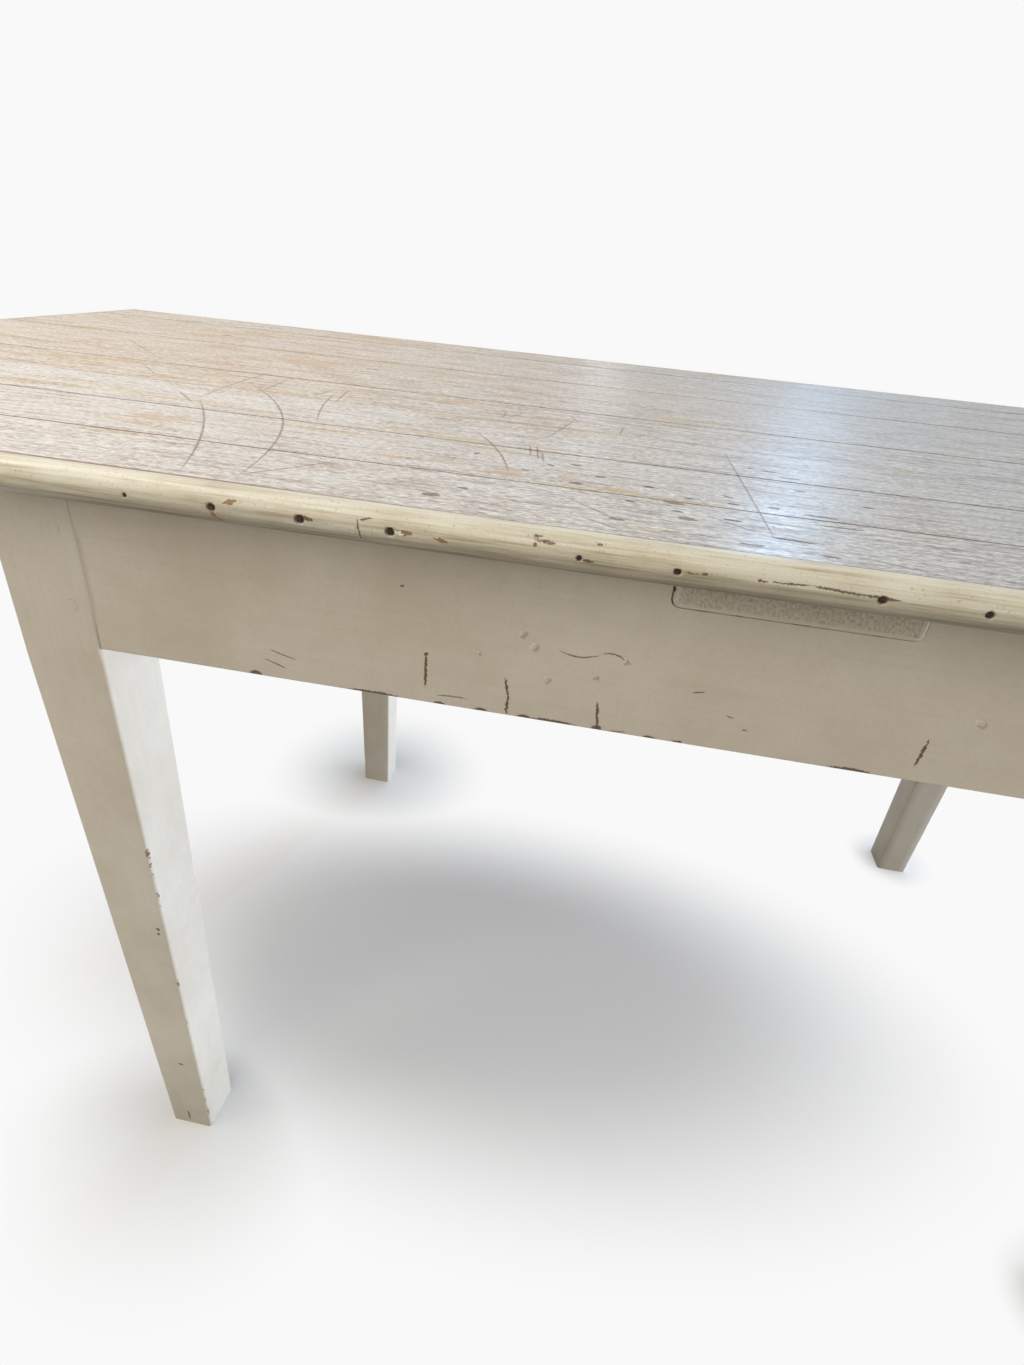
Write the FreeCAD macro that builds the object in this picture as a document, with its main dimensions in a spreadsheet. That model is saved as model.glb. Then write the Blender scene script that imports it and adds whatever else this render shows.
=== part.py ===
"""Plank-topped kitchen table: pegged frame, tied top and two dovetailed drawers on runners.

X runs along the table, Y across it, Z up. The origin is on the floor under the middle of the top.
The plain apron is on the -Y side and the drawers pull out on the +Y side.
"""
import FreeCAD
import Part
import Sketcher
import os

# Driving sizes in millimetres, apart from the three counts
SIZES = {
    # Whole table
    "table_height": 770,
    "top_length": 1800,
    "top_width": 800,
    "top_thickness": 22,
    "frame_length": 1020,
    "frame_width": 714,
    # Planks of the top and their tongues
    "plank_count": 9,
    "plank_width": 88.5,
    "plank_gap": 0.4,
    "plank_ease": 0.8,
    "tongue_thickness": 7,
    "tongue_length": 6,
    "tongue_fit": 0.3,
    # Half-round lipping and its nails
    "lipping_flat": 1,
    "nail_pitch": 50,
    "nail_length": 44,
    "nail_width": 2.8,
    "nail_sink": 1,
    "nail_fit": 0.1,
    "side_nail_margin": 25,
    "end_nail_margin": 62,
    # Legs
    "leg_top": 62,
    "leg_foot": 47,
    "leg_ease": 2.5,
    "taper_drop": 12,
    # Aprons and their tenons
    "apron_height": 120,
    "apron_thickness": 22,
    "apron_setback": 1,
    "board_ease": 1.5,
    "tenon_thickness": 9,
    "tenon_length": 34,
    "tenon_shoulder": 10,
    "tenon_haunch": 24,
    "joint_fit": 0.1,
    # Pegs through the tenons
    "peg_width": 8,
    "peg_length": 40,
    "peg_inset": 14,
    "peg_spacing": 54,
    # Battens and kickers under the top
    "batten_width": 140,
    "batten_thickness": 26,
    "batten_corner": 5,
    "batten_arris": 3,
    "batten_proud": 3,
    "batten_fit": 0.6,
    "batten_stub": 12,
    "batten_stub_thickness": 10,
    "batten_stub_margin": 20,
    "end_batten_width": 100,
    "end_batten_margin": 24,
    "end_batten_bevel": 14,
    "kicker_bearing": 20,
    # Nails that hold the top down
    "top_nail_length": 40,
    "top_nail_width": 4,
    "top_nail_stagger": 32,
    # Drawer rails, muntin, runners and guides
    "rail_thickness": 20,
    "rail_tenon_thickness": 10,
    "rail_tenon_margin": 10,
    "dovetail_length": 24,
    "dovetail_neck": 32,
    "dovetail_end": 42,
    "dovetail_thickness": 14,
    "muntin_width": 40,
    "muntin_tenon_length": 8,
    "muntin_tenon_margin": 9,
    "runner_bearing": 28,
    "runner_stub": 8,
    "guide_height": 20,
    # Drawer stops
    "stop_length": 30,
    "stop_depth": 20,
    "stop_height": 6,
    "stop_offset": 120,
    "stop_fit": 0.3,
    # Drawers
    "drawer_length": 520,
    "drawer_gap": 1,
    "drawer_run_fit": 0.3,
    "drawer_kick_gap": 3,
    "drawer_front_thickness": 22,
    "drawer_side_thickness": 12,
    "drawer_back_thickness": 12,
    "drawer_back_inset": 8,
    "drawer_back_drop": 4,
    "drawer_lap": 6,
    "tail_count": 3,
    "tail_flare": 2.4,
    "pin_width": 5,
    "bottom_thickness": 6,
    "bottom_rise": 8,
    "groove_depth": 6,
    "housing_depth": 4,
    "panel_fit": 0.2,
    # Turned knobs
    "knob_sides": 20,
    "knob_spigot": 12,
    "knob_flange": 21,
    "knob_flange_height": 3,
    "knob_neck": 15,
    "knob_neck_height": 9,
    "knob_head": 34,
    "knob_bevel": 6,
    "knob_length": 27,
    # How far every cut runs past the face it opens
    "overrun": 2,
}

doc = FreeCAD.newDocument("kitchen_table")
sheet = doc.addObject("Spreadsheet::Sheet", "dims")
for row, (alias, size) in enumerate(SIZES.items(), start=1):
    sheet.set(f"A{row}", alias)
    sheet.set(f"B{row}", str(size))
    sheet.setAlias(f"B{row}", alias)
doc.recompute()

# Levels and faces that several pieces share, as expressions of the driving sizes
UNDERSIDE = "(dims.table_height - dims.top_thickness)"
MID_TOP = "(dims.table_height - dims.top_thickness / 2)"
APRON_BOTTOM = f"({UNDERSIDE} - dims.apron_height)"
APRON_MID = f"({UNDERSIDE} - dims.apron_height / 2)"
TAPER_START = f"({APRON_BOTTOM} - dims.taper_drop)"
LEG_X = "(dims.frame_length / 2)"
LEG_Y = "(dims.frame_width / 2)"
LEG_INNER_X = f"({LEG_X} - dims.leg_top)"
LEG_INNER_Y = f"({LEG_Y} - dims.leg_top)"
APRON_X = f"({LEG_X} - dims.apron_setback)"
APRON_Y = f"({LEG_Y} - dims.apron_setback)"
APRON_INNER_X = f"({APRON_X} - dims.apron_thickness)"
APRON_INNER_Y = f"({APRON_Y} - dims.apron_thickness)"
LIPPING_WIDTH = "(dims.lipping_flat + dims.top_thickness / 2)"
PLANKS_X = f"(dims.top_length / 2 - {LIPPING_WIDTH})"
PLANKS_Y = f"(dims.top_width / 2 - {LIPPING_WIDTH})"
BATTEN_BOTTOM = f"({UNDERSIDE} - dims.batten_thickness)"
RUNNER_TOP = f"({APRON_BOTTOM} + dims.rail_thickness)"
TOP_RAIL_BOTTOM = f"({UNDERSIDE} - dims.rail_thickness)"
END_BATTEN_X = f"({LEG_X} + (dims.top_length / 2 - {LEG_X}) / 2)"

nodes = {}


def number(expression):
    """The value of an expression of the driving sizes."""
    return sheet.evalExpression(expression)


def minus(expression):
    """An expression with its sign turned."""
    return f"-({expression})"


def signed(sign, expression):
    """An expression on the side of the table that the sign gives."""
    return expression if sign > 0 else minus(expression)


def ordered(first, second):
    """A low and a high place, whichever way round they come."""
    return (first, second) if number(first) < number(second) else (second, first)


def piece(label):
    """A body that becomes one piece of the table."""
    body = doc.addObject("PartDesign::Body", label)
    nodes[label] = body
    return body


def rectangle(u_low, u_high, v_low, v_high):
    """The four corners of a square-edged section."""
    return [(u_low, v_low), (u_high, v_low), (u_high, v_high), (u_low, v_high)]


def eased(u_low, u_high, v_low, v_high, ease):
    """The eight corners of a rectangle whose arrises are planed off."""
    u_in, u_out = f"{u_low} + {ease}", f"{u_high} - {ease}"
    v_in, v_out = f"{v_low} + {ease}", f"{v_high} - {ease}"
    return [
        (u_in, v_low), (u_out, v_low), (u_high, v_in), (u_high, v_out),
        (u_out, v_high), (u_in, v_high), (u_low, v_out), (u_low, v_in),
    ]


def arc_between(start, end, centre, turn):
    """An arc about a centre, counter-clockwise for a turn of 1, clockwise for -1."""
    first, last = (start, end) if turn > 0 else (end, start)
    circle = Part.Circle(centre, FreeCAD.Vector(0, 0, 1), (start - centre).Length)
    return Part.ArcOfCircle(circle, circle.parameter(first), circle.parameter(last))


def tie(name, kind, geometry, point, expression):
    """A named rule for one coordinate of a sketch point, with the expression that it follows."""
    rule = Sketcher.Constraint(kind, -1, 1, geometry, point, number(expression))
    rule.Name = name
    return rule, expression


def outline(body, name, plane, place, corners):
    """A closed profile on one of the body's planes, pushed to its place along the plane's normal.

    A corner is (u, v). With a third item, (centre_u, centre_v, turn), an arc leaves that corner.
    """
    sketch = body.newObject("Sketcher::SketchObject", name)
    support = next(item for item in body.Origin.OriginFeatures if item.Role == plane)
    sketch.AttachmentSupport = [(support, "")]
    sketch.MapMode = "FlatFace"
    sketch.setExpression("AttachmentOffset.Base.z", place)
    spots = [FreeCAD.Vector(number(corner[0]), number(corner[1]), 0) for corner in corners]
    edges, ends = [], []
    for index, corner in enumerate(corners):
        start, end = spots[index], spots[(index + 1) % len(spots)]
        if len(corner) == 2:
            edges.append(Part.LineSegment(start, end))
            ends.append((1, 2))
        else:
            centre_u, centre_v, turn = corner[2]
            centre = FreeCAD.Vector(number(centre_u), number(centre_v), 0)
            edges.append(arc_between(start, end, centre, turn))
            ends.append((1, 2) if turn > 0 else (2, 1))
    joins, ties = [], []
    for index, corner in enumerate(corners):
        following = (index + 1) % len(corners)
        joins.append(
            Sketcher.Constraint("Coincident", index, ends[index][1], following, ends[following][0])
        )
        ties.append(tie(f"u{index}", "DistanceX", index, ends[index][0], corner[0]))
        ties.append(tie(f"v{index}", "DistanceY", index, ends[index][0], corner[1]))
        if len(corner) > 2:
            chord = spots[following] - spots[index]
            if abs(chord.y) >= abs(chord.x):
                ties.append(tie(f"centre{index}", "DistanceX", index, 3, corner[2][0]))
            else:
                ties.append(tie(f"centre{index}", "DistanceY", index, 3, corner[2][1]))
    sketch.addGeometry(edges)
    sketch.addConstraint(joins + [rule for rule, expression in ties])
    for rule, expression in ties:
        sketch.setExpression(f"Constraints.{rule.Name}", expression)
    return sketch


def grow(body, name, plane, corners, low, high):
    """Add a profile to a body, run between two places along the plane's axis."""
    place = minus(high) if plane == "XZ_Plane" else low
    pad = body.newObject("PartDesign::Pad", name)
    pad.Profile = outline(body, f"{name}_profile", plane, place, corners)
    pad.setExpression("Length", f"({high}) - ({low})")
    return pad


def carve(body, name, plane, corners, low, high):
    """Cut a profile out of a body, run between two places along the plane's axis."""
    place = minus(low) if plane == "XZ_Plane" else high
    pocket = body.newObject("PartDesign::Pocket", name)
    pocket.Profile = outline(body, f"{name}_profile", plane, place, corners)
    pocket.setExpression("Length", f"({high}) - ({low})")
    return pocket


def group(label, solids):
    """Like pieces kept together as separate solids."""
    gathered = doc.addObject("Part::Feature", label)
    gathered.Shape = Part.makeCompound(solids)
    return gathered


def less(label, base, holes):
    """A piece that has the holes of its nails cut out of it."""
    bored = doc.addObject("Part::Cut", f"{label}_bored")
    bored.Base = base
    bored.Tool = group(f"{label}_holes", holes)
    base.Label = f"{label}_blank"
    bored.Label = label
    nodes[label] = bored


# Nails of the lipping: square cut brads punched below the surface, one row on each side of the top
INTO_TOP = {
    "front": FreeCAD.Vector(0, 1, 0),
    "back": FreeCAD.Vector(0, -1, 0),
    "left": FreeCAD.Vector(1, 0, 0),
    "right": FreeCAD.Vector(-1, 0, 0),
}


def bar(width, start, end):
    """A square bar along Z, about the origin."""
    return Part.makeBox(width, width, end - start, FreeCAD.Vector(-width / 2, -width / 2, start))


def placed(shape, spot, direction):
    """A copy of a shape, turned from Z to a direction and moved to its spot."""
    copy = shape.copy()
    turn = FreeCAD.Rotation(FreeCAD.Vector(0, 0, 1), direction)
    copy.Placement = FreeCAD.Placement(spot, turn)
    return copy


def evenly(reach):
    """Places from one end of a row to the other, as near to the nails' pitch as an even spacing allows."""
    steps = max(1, round(2 * reach / number("dims.nail_pitch")))
    return [reach * (2 * step / steps - 1) for step in range(steps + 1)]


def nail_row(into):
    """The heads of the nails on the side from which they point into the top."""
    level = number(MID_TOP)
    if into.y:
        edge = -into.y * number("dims.top_width / 2 - dims.nail_sink")
        reach = number("dims.top_length / 2 - dims.side_nail_margin")
        return [FreeCAD.Vector(along, edge, level) for along in evenly(reach)]
    edge = -into.x * number("dims.top_length / 2 - dims.nail_sink")
    reach = number("dims.top_width / 2 - dims.end_nail_margin")
    return [FreeCAD.Vector(edge, across, level) for across in evenly(reach)]


nail = bar(number("dims.nail_width"), 0, number("dims.nail_length"))
nail_hole = bar(number("dims.nail_width + dims.nail_fit"), number("-dims.nail_sink - dims.overrun"),
                number("dims.nail_length + dims.nail_fit"))
nails = []
nail_holes = {}
for side, into in INTO_TOP.items():
    nails += [placed(nail, spot, into) for spot in nail_row(into)]
    nail_holes[side] = [placed(nail_hole, spot, into) for spot in nail_row(into)]
nodes["lipping_nails"] = group("lipping_nails", nails)


# Planks of the top: tongue on the +Y edge, groove on the -Y edge
EDGE_PLANK = f"({PLANKS_Y} - (dims.plank_count - 2) * dims.plank_width / 2)"
plank_count = int(number("dims.plank_count"))


def seam(index):
    """The joint line on the +Y side of a plank."""
    return f"({EDGE_PLANK} - {PLANKS_Y} + {index - 1} * dims.plank_width)"


def plank_edges(index):
    """The two edges of a plank, between which its face shows."""
    low = minus(PLANKS_Y) if index == 1 else f"{seam(index - 1)} + dims.plank_gap / 2"
    high = PLANKS_Y if index == plank_count else f"{seam(index)} - dims.plank_gap / 2"
    return low, high


def plank_profile(index):
    """The section of one plank."""
    low, high = plank_edges(index)
    top, ease = "dims.table_height", "dims.plank_ease"
    tongue = "dims.tongue_thickness / 2"
    groove = f"({tongue} + dims.tongue_fit / 2)"
    tip = f"{high} + dims.tongue_length"
    depth = f"{low} + dims.tongue_length + dims.tongue_fit"
    profile = [(low, UNDERSIDE), (high, UNDERSIDE)]
    if index < plank_count:
        profile += [(high, f"{MID_TOP} - {tongue}"), (tip, f"{MID_TOP} - {tongue}")]
        profile += [(tip, f"{MID_TOP} + {tongue}"), (high, f"{MID_TOP} + {tongue}")]
    profile += [(high, f"{top} - {ease}"), (f"{high} - {ease}", top)]
    profile += [(f"{low} + {ease}", top), (low, f"{top} - {ease}")]
    if index > 1:
        profile += [(low, f"{MID_TOP} + {groove}"), (depth, f"{MID_TOP} + {groove}")]
        profile += [(depth, f"{MID_TOP} - {groove}"), (low, f"{MID_TOP} - {groove}")]
    return profile


# Nails of the top: driven upwards through the battens and kickers, their heads flush underneath
def top_nail_places():
    """One nail for each plank in each batten, and in each kicker that the plank crosses."""
    level = number(BATTEN_BOTTOM)
    stagger = number("dims.top_nail_stagger")
    kicker_x = number(f"({LEG_INNER_X} + {APRON_INNER_X}) / 2")
    kicker_end = number(LEG_INNER_Y)
    places = []
    for index in range(1, plank_count + 1):
        low, high = plank_edges(index)
        across = (number(low) + number(high)) / 2
        side = stagger if index % 2 else -stagger
        for along in (-number(END_BATTEN_X), 0, number(END_BATTEN_X)):
            if along or abs(across) < kicker_end:
                places.append(FreeCAD.Vector(along + side, across, level))
        if abs(across) < kicker_end - stagger:
            places.append(FreeCAD.Vector(-kicker_x, across, level))
            places.append(FreeCAD.Vector(kicker_x, across, level))
    return places


upwards = FreeCAD.Vector(0, 0, 1)
top_nail = bar(number("dims.top_nail_width"), 0, number("dims.top_nail_length"))
top_nail_hole = bar(number("dims.top_nail_width + dims.nail_fit"), number("-dims.overrun"),
                    number("dims.top_nail_length + dims.nail_fit"))
top_nails = [placed(top_nail, spot, upwards) for spot in top_nail_places()]
top_nail_holes = [placed(top_nail_hole, spot, upwards) for spot in top_nail_places()]
nodes["top_nails"] = group("top_nails", top_nails)


def plank_holes(index):
    """The holes that reach into one plank."""
    low, high = plank_edges(index)
    start, end = number(low), number(f"{high} + dims.tongue_length")
    holes = nail_holes["left"] + nail_holes["right"] + top_nail_holes
    crossing = [hole for hole in holes if hole.BoundBox.YMax > start and hole.BoundBox.YMin < end]
    if index == 1:
        return crossing + nail_holes["front"]
    if index == plank_count:
        return crossing + nail_holes["back"]
    return crossing


for index in range(1, plank_count + 1):
    label = f"top_plank_{index}"
    plank = piece(label)
    grow(plank, "plank", "YZ_Plane", plank_profile(index), minus(PLANKS_X), PLANKS_X)
    less(label, plank, plank_holes(index))


# Lipping: half-round strips round the edge of the top, mitred at the corners
def lipping(side, sign, along_x):
    """One strip on the side that the sign gives."""
    label = f"lipping_{side}"
    width = "dims.top_width" if along_x else "dims.top_length"
    reach = "(dims.top_length / 2)" if along_x else "(dims.top_width / 2)"
    outer = signed(sign, f"({width} / 2)")
    back = signed(sign, f"({width} / 2 - {LIPPING_WIDTH})")
    spring = signed(sign, f"({width} / 2 - dims.top_thickness / 2)")
    beyond = signed(sign, f"({width} / 2 + dims.overrun)")
    behind = signed(sign, f"({width} / 2 - {LIPPING_WIDTH} - dims.overrun)")
    strip = piece(label)
    section = [
        (back, UNDERSIDE),
        (spring, UNDERSIDE, (spring, MID_TOP, sign)),
        (spring, "dims.table_height"),
        (back, "dims.table_height"),
    ]
    grow(strip, "strip", "YZ_Plane" if along_x else "XZ_Plane", section, minus(reach), reach)
    for end in (-1, 1):
        tip = signed(end, f"({reach} + dims.overrun)")
        root = signed(end, f"({reach} - {LIPPING_WIDTH} - dims.overrun)")
        mitre = [(tip, beyond), (tip, behind), (root, behind)]
        if not along_x:
            mitre = [(v, u) for u, v in mitre]
        carve(strip, "mitre", "XY_Plane", mitre, f"{UNDERSIDE} - dims.overrun",
              "dims.table_height + dims.overrun")
    less(label, strip, nail_holes[side])


lipping("front", -1, True)
lipping("back", 1, True)
lipping("left", -1, False)
lipping("right", 1, False)


# Battens: the middle one lies in a notch of the front apron and is tenoned into the top drawer rail
def batten_section(fit):
    """The section of the middle batten, or with a fit, of its notch."""
    half = f"(dims.batten_width / 2 + {fit})"
    low = f"({BATTEN_BOTTOM} - {fit})"
    corner = f"(dims.batten_corner + {fit})"
    inner, rise = f"({half} - {corner})", f"({low} + {corner})"
    return [
        (minus(half), UNDERSIDE),
        (minus(half), rise, (minus(inner), rise, 1)),
        (minus(inner), low),
        (inner, low, (inner, rise, 1)),
        (half, rise),
        (half, UNDERSIDE),
    ]


def batten_stub(fit):
    """The stub tenon that joins the middle batten to the top drawer rail."""
    half = f"(dims.batten_width / 2 - dims.batten_stub_margin + {fit})"
    middle = f"({UNDERSIDE} - dims.rail_thickness / 2)"
    thick = f"(dims.batten_stub_thickness / 2 + {fit})"
    return rectangle(minus(half), half, f"{middle} - {thick}", f"{middle} + {thick}")


batten = piece("batten_centre")
batten_front = minus(f"({APRON_Y} + dims.batten_proud)")
grow(batten, "batten", "XZ_Plane", batten_section("0"), batten_front, LEG_INNER_Y)
grow(batten, "stub", "XZ_Plane", batten_stub("0"), LEG_INNER_Y, f"{LEG_INNER_Y} + dims.batten_stub")
doc.recompute()
batten_tip = batten.Tip
end_edges = []
for order, edge in enumerate(batten_tip.Shape.Edges, start=1):
    box = edge.BoundBox
    on_end = abs(box.YMax - number(batten_front)) < number("dims.joint_fit")
    below_top = box.ZMin < number(UNDERSIDE) - number("dims.joint_fit")
    if on_end and below_top and box.YLength < number("dims.joint_fit"):
        end_edges.append(f"Edge{order}")
worn_end = batten.newObject("PartDesign::Fillet", "worn_end")
worn_end.Base = (batten_tip, end_edges)
worn_end.setExpression("Radius", "dims.batten_arris")
less("batten_centre", batten, top_nail_holes)

for label, sign in (("batten_left", -1), ("batten_right", 1)):
    end_batten = piece(label)
    middle = signed(sign, END_BATTEN_X)
    reach = "(dims.top_width / 2 - dims.end_batten_margin)"
    bevelled = [
        (minus(f"({reach} - dims.end_batten_bevel)"), BATTEN_BOTTOM),
        (f"({reach} - dims.end_batten_bevel)", BATTEN_BOTTOM),
        (reach, f"({BATTEN_BOTTOM} + dims.end_batten_bevel)"),
        (reach, UNDERSIDE),
        (minus(reach), UNDERSIDE),
        (minus(reach), f"({BATTEN_BOTTOM} + dims.end_batten_bevel)"),
    ]
    half = "dims.end_batten_width / 2"
    grow(end_batten, "batten", "YZ_Plane", bevelled, f"{middle} - {half}", f"{middle} + {half}")
    less(label, end_batten, top_nail_holes)

for label, sign in (("kicker_left", -1), ("kicker_right", 1)):
    kicker = piece(label)
    near, far = ordered(signed(sign, f"({LEG_INNER_X} - dims.kicker_bearing)"), signed(sign, APRON_INNER_X))
    section = rectangle(near, far, BATTEN_BOTTOM, UNDERSIDE)
    grow(kicker, "kicker", "XZ_Plane", section, minus(LEG_INNER_Y), LEG_INNER_Y)
    less(label, kicker, top_nail_holes)


# Tenons of the aprons: one section serves the tenon and, with a fit, its mortise
def tenon_section(face, fit):
    """The section of an apron's tenon behind the outer face of the apron."""
    sign = 1 if number(face) > 0 else -1
    middle = f"({face} - {signed(sign, 'dims.apron_thickness')} / 2)"
    half = f"(dims.tenon_thickness / 2 + {fit})"
    low = f"({APRON_BOTTOM} + dims.tenon_shoulder - {fit})"
    high = f"({UNDERSIDE} - dims.tenon_haunch + {fit})"
    return rectangle(f"{middle} - {half}", f"{middle} + {half}", low, high)


def peg_levels():
    """The heights of the two pegs in a tenon."""
    return [f"({APRON_MID} - dims.peg_spacing / 2)", f"({APRON_MID} + dims.peg_spacing / 2)"]


PEG_X = f"({LEG_INNER_X} + dims.peg_inset)"
PEG_Y = f"({LEG_INNER_Y} + dims.peg_inset)"


def peg_section(centre, level, fit):
    """The eight-sided section of a shaved peg, or with a fit, of its hole."""
    width = f"(dims.peg_width + {fit})"
    half = f"({width} / 2)"
    shaving = f"({half} * (1 - tan(22.5 deg)))"
    return eased(f"{centre} - {half}", f"{centre} + {half}",
                 f"{level} - {half}", f"{level} + {half}", shaving)


def runner_stub(fit):
    """The section of the centre runner's stub tenons."""
    half = f"(dims.muntin_width / 2 + {fit})"
    low = f"{APRON_BOTTOM} + dims.rail_tenon_thickness / 2 - {fit}"
    high = f"{RUNNER_TOP} - dims.rail_tenon_thickness / 2 + {fit}"
    return rectangle(minus(half), half, low, high)


# Front apron: plain board between the front legs, notched for the middle batten
apron = piece("apron_front")
apron_section = eased(minus(APRON_Y), minus(APRON_INNER_Y), APRON_BOTTOM, UNDERSIDE, "dims.board_ease")
grow(apron, "board", "YZ_Plane", apron_section, minus(LEG_INNER_X), LEG_INNER_X)
front_tenon = tenon_section(minus(APRON_Y), "0")
for sign in (-1, 1):
    shoulder, end = signed(sign, LEG_INNER_X), signed(sign, f"({LEG_INNER_X} + dims.tenon_length)")
    low, high = ordered(shoulder, end)
    grow(apron, "tenon", "YZ_Plane", front_tenon, low, high)
    for level in peg_levels():
        carve(apron, "peg_hole", "XZ_Plane", peg_section(signed(sign, PEG_X), level, "dims.joint_fit"),
              minus(APRON_Y), minus(APRON_INNER_Y))
carve(apron, "batten_notch", "XZ_Plane", batten_section("dims.batten_fit"),
      f"{minus(APRON_Y)} - dims.overrun", f"{minus(APRON_INNER_Y)} + dims.overrun")
carve(apron, "runner_mortise", "XZ_Plane", runner_stub("dims.joint_fit"),
      f"{minus(APRON_INNER_Y)} - dims.runner_stub - dims.joint_fit",
      f"{minus(APRON_INNER_Y)} + dims.overrun")


# End aprons: plain boards between the front and back legs
for label, sign in (("apron_left", -1), ("apron_right", 1)):
    end_apron = piece(label)
    face = signed(sign, APRON_X)
    near, far = ordered(signed(sign, APRON_INNER_X), face)
    section = eased(near, far, APRON_BOTTOM, UNDERSIDE, "dims.board_ease")
    grow(end_apron, "board", "XZ_Plane", section, minus(LEG_INNER_Y), LEG_INNER_Y)
    section = tenon_section(face, "0")
    for side in (-1, 1):
        shoulder, end = signed(side, LEG_INNER_Y), signed(side, f"({LEG_INNER_Y} + dims.tenon_length)")
        low, high = ordered(shoulder, end)
        grow(end_apron, "tenon", "XZ_Plane", section, low, high)
        for level in peg_levels():
            hole = peg_section(signed(side, PEG_Y), level, "dims.joint_fit")
            carve(end_apron, "peg_hole", "YZ_Plane", hole, near, far)


# Drawer rails: the bottom rail is tenoned into the back legs, the top rail dovetailed into their tops
def rail_tenon(fit):
    """The section of the bottom rail's tenon."""
    low = f"{LEG_INNER_Y} + dims.rail_tenon_margin - {fit}"
    high = f"{APRON_Y} - dims.rail_tenon_margin + {fit}"
    middle = f"({APRON_BOTTOM} + dims.rail_thickness / 2)"
    half = f"(dims.rail_tenon_thickness / 2 + {fit})"
    return rectangle(low, high, f"{middle} - {half}", f"{middle} + {half}")


def rail_dovetail(sign, fit, root):
    """The plan of the top rail's dovetail, from its root on the rail to its wide end."""
    middle = f"(({LEG_INNER_Y} + {APRON_Y}) / 2)"
    neck = f"(dims.dovetail_neck / 2 + {fit})"
    wide = f"(dims.dovetail_end / 2 + {fit})"
    start = signed(sign, f"({LEG_INNER_X} - {root})")
    end = signed(sign, f"({LEG_INNER_X} + dims.dovetail_length + {fit})")
    return [
        (start, f"{middle} - {neck}"), (end, f"{middle} - {wide}"),
        (end, f"{middle} + {wide}"), (start, f"{middle} + {neck}"),
    ]


def muntin_tenon(fit):
    """The plan of the muntin's stub tenons."""
    half = f"(dims.muntin_width / 2 - dims.muntin_tenon_margin + {fit})"
    low = f"{LEG_INNER_Y} + dims.muntin_tenon_margin + dims.batten_stub - {fit}"
    high = f"{APRON_Y} - dims.muntin_tenon_margin + {fit}"
    return rectangle(minus(half), half, low, high)


bottom_rail = piece("drawer_rail_bottom")
section = eased(LEG_INNER_Y, APRON_Y, APRON_BOTTOM, RUNNER_TOP, "dims.board_ease")
grow(bottom_rail, "rail", "YZ_Plane", section, minus(LEG_INNER_X), LEG_INNER_X)
grow(bottom_rail, "tenons", "YZ_Plane", rail_tenon("0"), minus(f"({LEG_INNER_X} + dims.tenon_length)"),
     f"{LEG_INNER_X} + dims.tenon_length")
carve(bottom_rail, "muntin_mortise", "XY_Plane", muntin_tenon("dims.joint_fit"),
      f"{RUNNER_TOP} - dims.muntin_tenon_length - dims.joint_fit", f"{RUNNER_TOP} + dims.overrun")
carve(bottom_rail, "runner_mortise", "XZ_Plane", runner_stub("dims.joint_fit"),
      f"{LEG_INNER_Y} - dims.overrun", f"{LEG_INNER_Y} + dims.runner_stub + dims.joint_fit")

top_rail = piece("drawer_rail_top")
section = rectangle(LEG_INNER_Y, APRON_Y, TOP_RAIL_BOTTOM, UNDERSIDE)
grow(top_rail, "rail", "YZ_Plane", section, minus(LEG_INNER_X), LEG_INNER_X)
for sign in (-1, 1):
    grow(top_rail, "dovetail", "XY_Plane", rail_dovetail(sign, "0", "0"),
         f"{UNDERSIDE} - dims.dovetail_thickness", UNDERSIDE)
carve(top_rail, "muntin_mortise", "XY_Plane", muntin_tenon("dims.joint_fit"),
      f"{TOP_RAIL_BOTTOM} - dims.overrun", f"{TOP_RAIL_BOTTOM} + dims.muntin_tenon_length + dims.joint_fit")
carve(top_rail, "batten_mortise", "XZ_Plane", batten_stub("dims.joint_fit"),
      f"{LEG_INNER_Y} - dims.overrun", f"{LEG_INNER_Y} + dims.batten_stub + dims.joint_fit")

muntin = piece("drawer_muntin")
section = rectangle("-dims.muntin_width / 2", "dims.muntin_width / 2", LEG_INNER_Y, APRON_Y)
grow(muntin, "muntin", "XY_Plane", section, RUNNER_TOP, TOP_RAIL_BOTTOM)
grow(muntin, "tenons", "XY_Plane", muntin_tenon("0"), f"{RUNNER_TOP} - dims.muntin_tenon_length",
     f"{TOP_RAIL_BOTTOM} + dims.muntin_tenon_length")


# Legs: square at the frame, tapered on four faces to the foot, with the mortises of their rails
def leg_section(centre_x, centre_y, size):
    """An eased square about the leg's middle line."""
    return eased(f"{centre_x} - {size} / 2", f"{centre_x} + {size} / 2",
                 f"{centre_y} - {size} / 2", f"{centre_y} + {size} / 2", "dims.leg_ease")


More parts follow.
